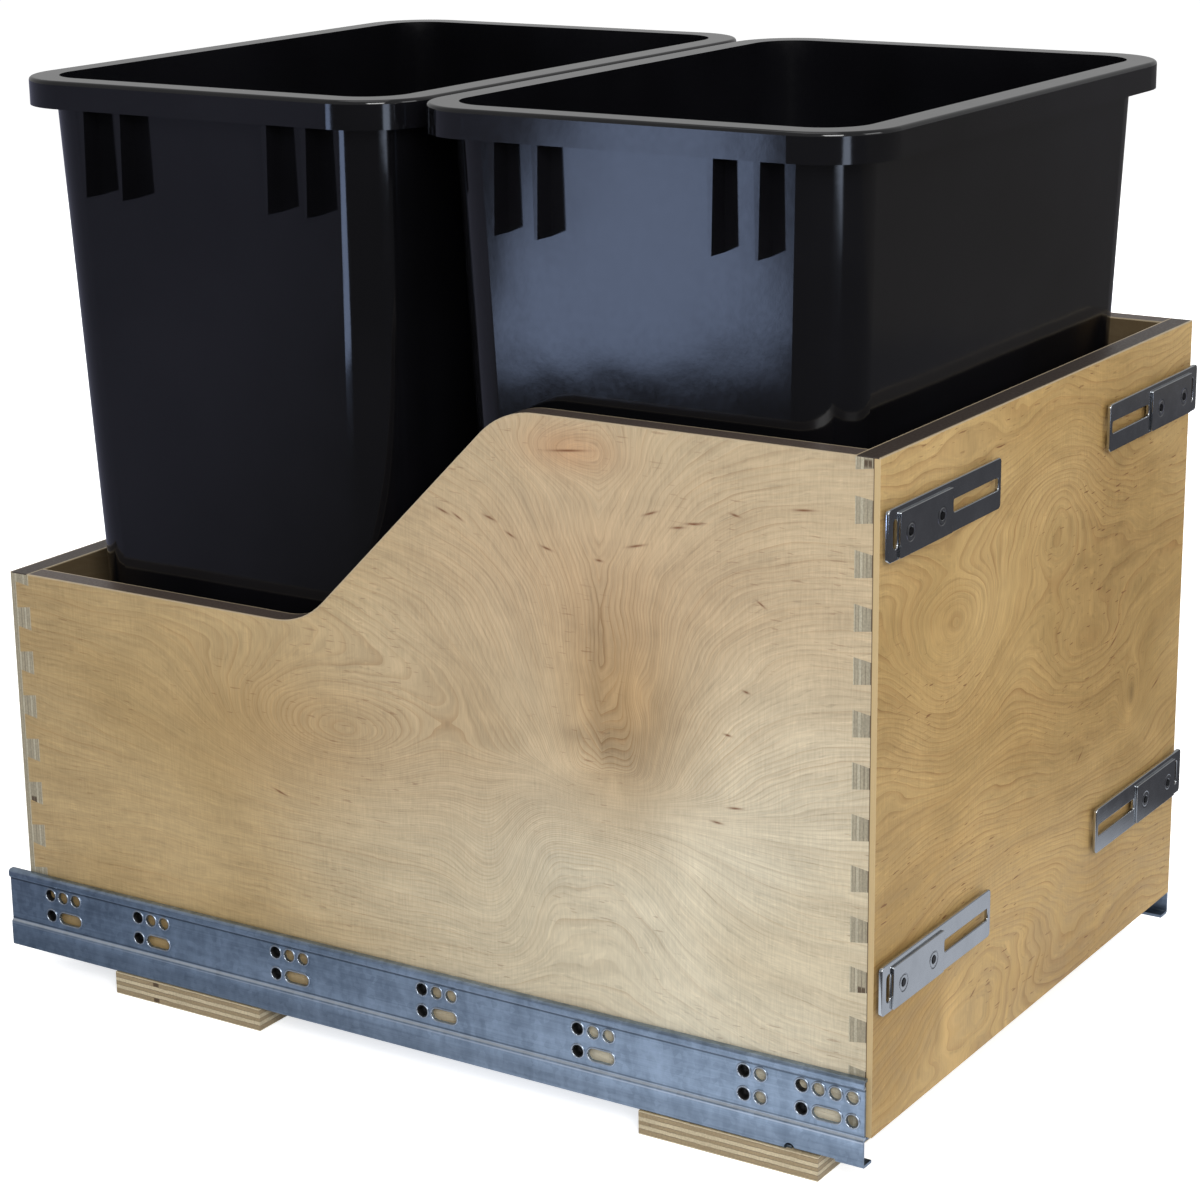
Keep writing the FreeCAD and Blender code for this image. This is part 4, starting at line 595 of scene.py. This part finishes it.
def ring_tree(name):
    tree = bpy.data.node_groups.new(name, "GeometryNodeTree")
    face = tree.interface
    face.new_socket("Centres", in_out="INPUT", socket_type="NodeSocketGeometry")
    for title in ("Hole width", "Straight", "Wire width", "Wire depth", "Wire round"):
        face.new_socket(title, in_out="INPUT", socket_type="NodeSocketFloat")
    face.new_socket("Finish", in_out="INPUT", socket_type="NodeSocketMaterial")
    face.new_socket("Rings", in_out="OUTPUT", socket_type="NodeSocketGeometry")

    node = Nodes(tree).node
    given = node("NodeGroupInput").outputs
    half = node("ShaderNodeMath", {0: given["Hole width"], 1: NEAR_HALF}, operation="MULTIPLY").outputs[0]
    long = node("ShaderNodeMath", {0: given["Hole width"], 1: given["Straight"]}, operation="ADD").outputs[0]
    hole = node("GeometryNodeCurvePrimitiveQuadrilateral", {"Width": long, "Height": given["Hole width"]})
    rounding = {"Curve": hole.outputs[0], "Radius": half, "Count": 5}
    hole = node("GeometryNodeFilletCurve", rounding, mode="POLY")
    section = {"Width": given["Wire width"], "Height": given["Wire depth"]}
    wire = node("GeometryNodeCurvePrimitiveQuadrilateral", section)
    rounding = {"Curve": wire.outputs[0], "Radius": given["Wire round"], "Count": 1}
    wire = node("GeometryNodeFilletCurve", rounding, mode="POLY")
    ring = node("GeometryNodeCurveToMesh", {"Curve": hole.outputs[0], "Profile Curve": wire.outputs[0]})
    ring = node("GeometryNodeSetShadeSmooth", {"Geometry": ring.outputs[0]})
    turn = node("FunctionNodeEulerToRotation", {0: (math.pi / 2, 0.0, math.pi / 2)})
    placed = node(
        "GeometryNodeInstanceOnPoints",
        {"Points": given["Centres"], "Instance": ring.outputs[0], "Rotation": turn.outputs[0]},
    )
    real = node("GeometryNodeRealizeInstances", {0: placed.outputs[0]})
    done = node("GeometryNodeSetMaterial", {"Geometry": real.outputs[0], "Material": given["Finish"]})
    node("NodeGroupOutput", {0: done.outputs[0]})
    return tree


rings_along_holes = ring_tree("rings_along_holes")


def rings(centres, sizes, straight, finish):
    """The mesh of one ring round each centre.

    sizes are the width of the hole, then the width, depth and corner radius of the wire round it.
    straight is how much longer than wide the hole is.
    """
    points = bpy.data.meshes.new("hole_centres")
    points.from_pydata(centres, [], [])
    holder = put("hole_centres", points)
    modifier = holder.modifiers.new("rings", "NODES")
    modifier.node_group = rings_along_holes
    given = {
        socket.name: socket.identifier
        for socket in rings_along_holes.interface.items_tree if socket.in_out == "INPUT"
    }
    titles = ("Hole width", "Wire width", "Wire depth", "Wire round", "Straight")
    for title, value in zip(titles, (*sizes, straight)):
        modifier[given[title]] = value
    modifier[given["Finish"]] = finish
    return baked(holder)


def piece(name, meshes, body):
    """One finished piece from several meshes, carried by a body."""
    made = put(name, meshes[0])
    others = [put(name + "_more", mesh) for mesh in meshes[1:]]
    with bpy.context.temp_override(active_object=made, selected_editable_objects=[made] + others):
        bpy.ops.object.join()
    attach(made, body)


# The holes of a slide's web: groups along a 32 mm grid, as grid steps and columns, in two rows
FIRST_HOLE = -0.212
GRID = 0.032
STEP = 0.0092
HIGH_ROW = 0.0483
LOW_ROW = 0.0361
WEB = 0.18771
HOLE = 0.0066
GROUPS = ((0, 4), (1, 2), (4, 3), (7, 3), (10, 3), (13, 3), (15, 3))
# Rims, and the dark sleeves and their backs that are painted shade: their ring sizes, and how deep they sit
# in the web
RIM = (HOLE + 0.9 * MM, 0.9 * MM, 0.9 * MM, 0.3 * MM)
SHADE_SLEEVE = (HOLE - 0.5 * MM, 0.4 * MM, 3.2 * MM, 0.05 * MM)
SHADE_BACK = (HOLE / 2, HOLE / 2, 0.3 * MM, 0.05 * MM)
RIM_DEPTH = -0.1 * MM
SHADE_SLEEVE_DEPTH = 1.6 * MM
SHADE_BACK_DEPTH = 2.9 * MM


def web_holes():
    """Centres of the holes with painted-shade sleeves, the other round holes and the long holes, as (y, z).
    """
    shaded_holes, round_holes, long_holes = [], [], []
    for steps, count in GROUPS:
        columns = [FIRST_HOLE + GRID * steps - STEP * index for index in range(count)]
        shaded_holes += [(columns[0], HIGH_ROW), (columns[0], LOW_ROW)]
        round_holes += [(y, HIGH_ROW) for y in columns[1:]]
        if count == 2:
            round_holes.append((columns[1], LOW_ROW))
        else:
            long_holes.append(((columns[1] + columns[2]) / 2, LOW_ROW))
        if count == 4:
            round_holes.append((columns[3], LOW_ROW))
    return shaded_holes, round_holes, long_holes


def in_web(way, depth, holes):
    """Ring centres for holes given as (y, z), at a depth in one side's web."""
    return [(way * (WEB - depth), y, z) for y, z in holes]


def outline_of(corners, radius, steps=5):
    """Points round a rectangle with round corners, in millimetres."""
    (low_x, low_z), (high_x, high_z) = corners
    points = []
    centres = (
        (high_x - radius, high_z - radius), (low_x + radius, high_z - radius),
        (low_x + radius, low_z + radius), (high_x - radius, low_z + radius),
    )
    for quarter, (x, z) in enumerate(centres):
        for step in range(steps + 1):
            angle = math.pi / 2 * (quarter + step / steps)
            points.append((x + radius * math.cos(angle), z + radius * math.sin(angle)))
    return points


def pressed_plate(name, outlines, faces, edge, node):
    """A plate with rolled edges, from an outline and its holes, facing -Y. It stands for a node."""
    front, back = faces
    curve = bpy.data.curves.new(name, "CURVE")
    curve.dimensions = "2D"
    curve.fill_mode = "BOTH"
    curve.extrude = ((back - front) / 2 - edge) * MM
    curve.bevel_depth = edge * MM
    curve.bevel_resolution = 2
    curve.offset = -edge * MM
    for points in outlines:
        spline = curve.splines.new("POLY")
        spline.points.add(len(points) - 1)
        for point, (x, z) in zip(spline.points, points):
            point.co = (x * MM, z * MM, 0.0, 1.0)
        spline.use_cyclic_u = True
    mesh = baked(put(name + "_curve", curve))
    stand = Matrix.Translation((0.0, (front + back) / 2 * MM, 0.0)) @ Matrix.Rotation(math.pi / 2, 4, "X")
    mesh.transform(stand)
    mesh.materials.clear()
    mesh.materials.append(bracket_steel)
    made = put(name, mesh)
    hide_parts(node)
    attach(made, "drawer")


def round_hole(x, z, diameter):
    half = diameter / 2
    return outline_of(((x - half, z - half), (x + half, z + half)), half)


# A left bracket, in millimetres: first and last x, bottom and top above its lower edge, corner radius
BASE_OUTLINES = (
    (-183.65, -65.65, 0.0, 25.4, 2.4), (-178.9, -174.4, 5.7, 19.7, 2.2), (-117.15, -68.65, 9.6, 15.8, 1.2),
)
PLATE_OUTLINE = (-173.65, -119.65, 0.5, 22.4, 0.9)
BASE_FACES = (-252.2, -250.2)
PLATE_FACES = (-253.3, -252.2)
BASE_ROLL = 0.45
PLATE_ROLL = 0.25


def bracket(level, side, low):
    """The base plate with its two slots, and the thin plate that carries the screws."""
    way = -1 if side == "left" else 1

    def window(first, last, bottom, top, radius):
        start, end = (first, last) if way < 0 else (-last, -first)
        return outline_of(((start, low + bottom), (end, low + top)), radius)

    base = [window(*outline) for outline in BASE_OUTLINES]
    pressed_plate(f"{level}_{side}_base", base, BASE_FACES, BASE_ROLL, f"{level}_{side}_bracket_base")
    plate = [window(*PLATE_OUTLINE)]
    plate += [round_hole(way * across, low + SCREW_RISE, SCREW_HOLE) for across in SCREWS]
    pressed_plate(f"{level}_{side}_plate", plate, PLATE_FACES, PLATE_ROLL, f"{level}_{side}_bracket_plate")


for level, low in BRACKET_LOWS.items():
    for side in ("left", "right"):
        bracket(level, side, low)

# Black for the sleeves and backs that are painted shade inside some holes
painted_shade_black = moulded("black_painted_shade", tone(6, 6, 7), tone(12, 12, 13), 0.5, 0.7, 900.0, 0.03 * MM)
shaded_holes, round_holes, long_holes = web_holes()
open_ends = [(y, z) for y, z in shaded_holes if z == HIGH_ROW and y in (FIRST_HOLE, FIRST_HOLE + 15 * GRID)]
closed = [place for place in shaded_holes if place not in open_ends]
for side, way in (("left", -1), ("right", 1)):
    rims = [
        rings(in_web(way, RIM_DEPTH, shaded_holes + round_holes), RIM, 0.0, rim_steel_painted_highlight),
        rings(in_web(way, RIM_DEPTH, long_holes), RIM, STEP, rim_steel_painted_highlight),
    ]
    piece(f"{side}_hole_rims", rims, "cabinet_base")
    # Dark sleeves in these holes, and dark backs in all but the two open ends: painted shade
    shade_sleeves = [
        rings(in_web(way, SHADE_SLEEVE_DEPTH, shaded_holes), SHADE_SLEEVE, 0.0, painted_shade_black),
        rings(in_web(way, SHADE_BACK_DEPTH, closed), SHADE_BACK, 0.0, painted_shade_black),
    ]
    piece(f"{side}_hole_shade_sleeves", shade_sleeves, "cabinet_base")


# Studio: a white floor that keeps the shadow, a white surround and soft lamps
BLACK = (0.0, 0.0, 0.0, 1.0)
WHITE = (1.0, 1.0, 1.0, 1.0)
FLOOR_GLOW = (0.66, 0.66, 0.66, 1.0)
WORLD_LIGHT = 0.42
# Bright places that only glossy rays see on the floor
SIDE_SHEEN = (1.05, 1.10, 1.18, 1.0)
GAP_LIGHT = (2.6, 3.0, 3.8, 1.0)
WINDOW_LIGHT = (2.2, 2.8, 4.3, 1.0)


def studio_floor():
    """A white floor. Glossy rays see on it what the photo's shiny parts mirror."""
    size = 14.0
    mesh = bpy.data.meshes.new("studio_floor")
    corners = [(-size, -size, 0.0), (size, -size, 0.0), (size, size, 0.0), (-size, size, 0.0)]
    mesh.from_pydata(corners, [], [(0, 1, 2, 3)])
    floor = put("studio_floor", mesh)
    paper = Recipe("white_paper")
    path = paper.node("ShaderNodeLightPath").outputs
    soft = paper.grain(paper.place["Object"], 40.0, 2.0)
    white = paper.blend(soft, tone(236, 236, 236), tone(240, 240, 240))
    matt = paper.node("ShaderNodeBsdfDiffuse", {"Color": white})
    x, y = paper.split(paper.place["Object"])[:2]

    def towards(x_share, y_share):
        """How far a place lies in one direction over the floor."""
        return paper.add(paper.times(x, x_share), paper.times(y, y_share))

    wobble = paper.times(paper.less(paper.grain(paper.place["Object"], 7.0, 3.0), 0.5), 0.16)
    away = towards(-0.83, 0.557)
    aside = towards(0.494, 0.869)
    reach = paper.node("ShaderNodeVectorMath", {0: paper.place["Object"]}, operation="LENGTH").outputs[1]
    near = paper.ramp(reach, 0.54, 0.42)
    sheen = paper.blend(paper.ramp(y, -0.05, 0.35), tone(208, 213, 222), tone(134, 143, 156))
    beside = paper.times(paper.ramp(x, -0.12, -0.22), paper.ramp(y, 0.05, -0.20))
    sheen = paper.blend(beside, sheen, SIDE_SHEEN)
    window = paper.times(
        paper.ramp(away, 1.49, 1.54), paper.ramp(aside, -0.255, -0.235), paper.ramp(aside, 0.07, 0.02)
    )
    strip = paper.sum("ABSOLUTE", paper.add(towards(0.829, -0.559), 0.02))
    gap_light = paper.times(paper.ramp(strip, 0.42, 0.25), paper.ramp(y, -1.70, -1.95))
    far = paper.ramp(paper.add(towards(0.83, -0.557), wobble), 1.66, 1.80)
    dim_side = paper.blend(paper.ramp(aside, 0.05, 0.35), tone(84, 84, 88), tone(124, 126, 146))
    mirrored = paper.blend(near, dim_side, sheen)
    mirrored = paper.blend(paper.times(far, 0.9), mirrored, tone(100, 98, 97))
    mirrored = paper.blend(gap_light, mirrored, GAP_LIGHT)
    mirrored = paper.blend(window, mirrored, WINDOW_LIGHT)
    seen = paper.sum("MAXIMUM", path["Is Camera Ray"], path["Is Transmission Ray"])
    glow = paper.blend(seen, BLACK, FLOOR_GLOW)
    glow = paper.blend(path["Is Glossy Ray"], glow, mirrored)
    glow = paper.node("ShaderNodeEmission", {"Color": glow, "Strength": 1.0})
    dark = paper.node("ShaderNodeEmission", {"Strength": 0.0})
    choice = {0: path["Is Glossy Ray"], 1: matt.outputs[0], 2: dark.outputs[0]}
    dim = paper.node("ShaderNodeMixShader", choice)
    both = paper.node("ShaderNodeAddShader", {0: dim.outputs[0], 1: glow.outputs[0]})
    paper.node("ShaderNodeOutputMaterial", {0: both.outputs[0]})
    mesh.materials.append(paper.material)


def studio_world():
    """A surround that looks white, and lights the object more softly."""
    world = bpy.data.worlds.new("studio")
    bpy.context.scene.world = world
    world.use_nodes = True
    node = Nodes(world.node_tree).node
    path = node("ShaderNodeLightPath").outputs
    either = {0: path["Is Camera Ray"], 1: path["Is Transmission Ray"]}
    seen = node("ShaderNodeMath", either, operation="MAXIMUM")
    strength = node("ShaderNodeMapRange", {0: seen.outputs[0], 3: WORLD_LIGHT, 4: 1.0})
    sky = node("ShaderNodeBackground", {"Color": WHITE, "Strength": strength.outputs[0]})
    node("ShaderNodeOutputWorld", {0: sky.outputs[0]})


def soft_lamp(name, place, aim, size, power, mirrored=True):
    """An area lamp. Glossy rays see it only where it is mirrored."""
    lamp = bpy.data.lights.new(name, "AREA")
    lamp.shape = "RECTANGLE"
    lamp.size, lamp.size_y = size
    lamp.energy = power
    holder = put(name, lamp)
    holder.visible_glossy = mirrored
    holder.location = place
    holder.rotation_euler = (Vector(aim) - Vector(place)).to_track_quat("-Z", "Y").to_euler()


studio_floor()
studio_world()
soft_lamp("key_softbox", (-1.75, -1.45, 1.35), (-0.15, -0.15, 0.22), (1.0, 1.0), 36.0)
soft_lamp("front_softbox", (0.2, -2.6, 1.5), (0.0, -0.25, 0.2), (1.2, 1.0), 11.0)
soft_lamp("back_softbox", (1.5, 2.3, 1.3), (0.0, 0.1, 0.2), (1.4, 1.2), 40.0, mirrored=False)
soft_lamp("right_softbox", (2.7, 0.2, 1.2), (0.15, 0.0, 0.2), (1.2, 1.0), 24.0, mirrored=False)
soft_lamp("top_softbox", (-0.2, 0.2, 2.8), (0.0, 0.0, 0.3), (1.6, 1.4), 8.0)

lens = bpy.data.cameras.new("photo_camera")
lens.lens = 91.19
lens.sensor_width = 36.0
lens.clip_start = 0.05
lens.clip_end = 60.0
camera = put("photo_camera", lens)
camera_place = (-1.36450, -0.85239, 0.68008)
rightward = Vector((0.535385, -0.844521, -0.012101))
upward = Vector((0.241729, 0.139485, 0.960266))
backward = rightward.cross(upward)
turned = Matrix((rightward, upward, backward)).transposed().to_4x4()
camera.matrix_world = Matrix.Translation(camera_place) @ turned
bpy.context.scene.camera = camera
bpy.context.scene.view_settings.view_transform = "Standard"
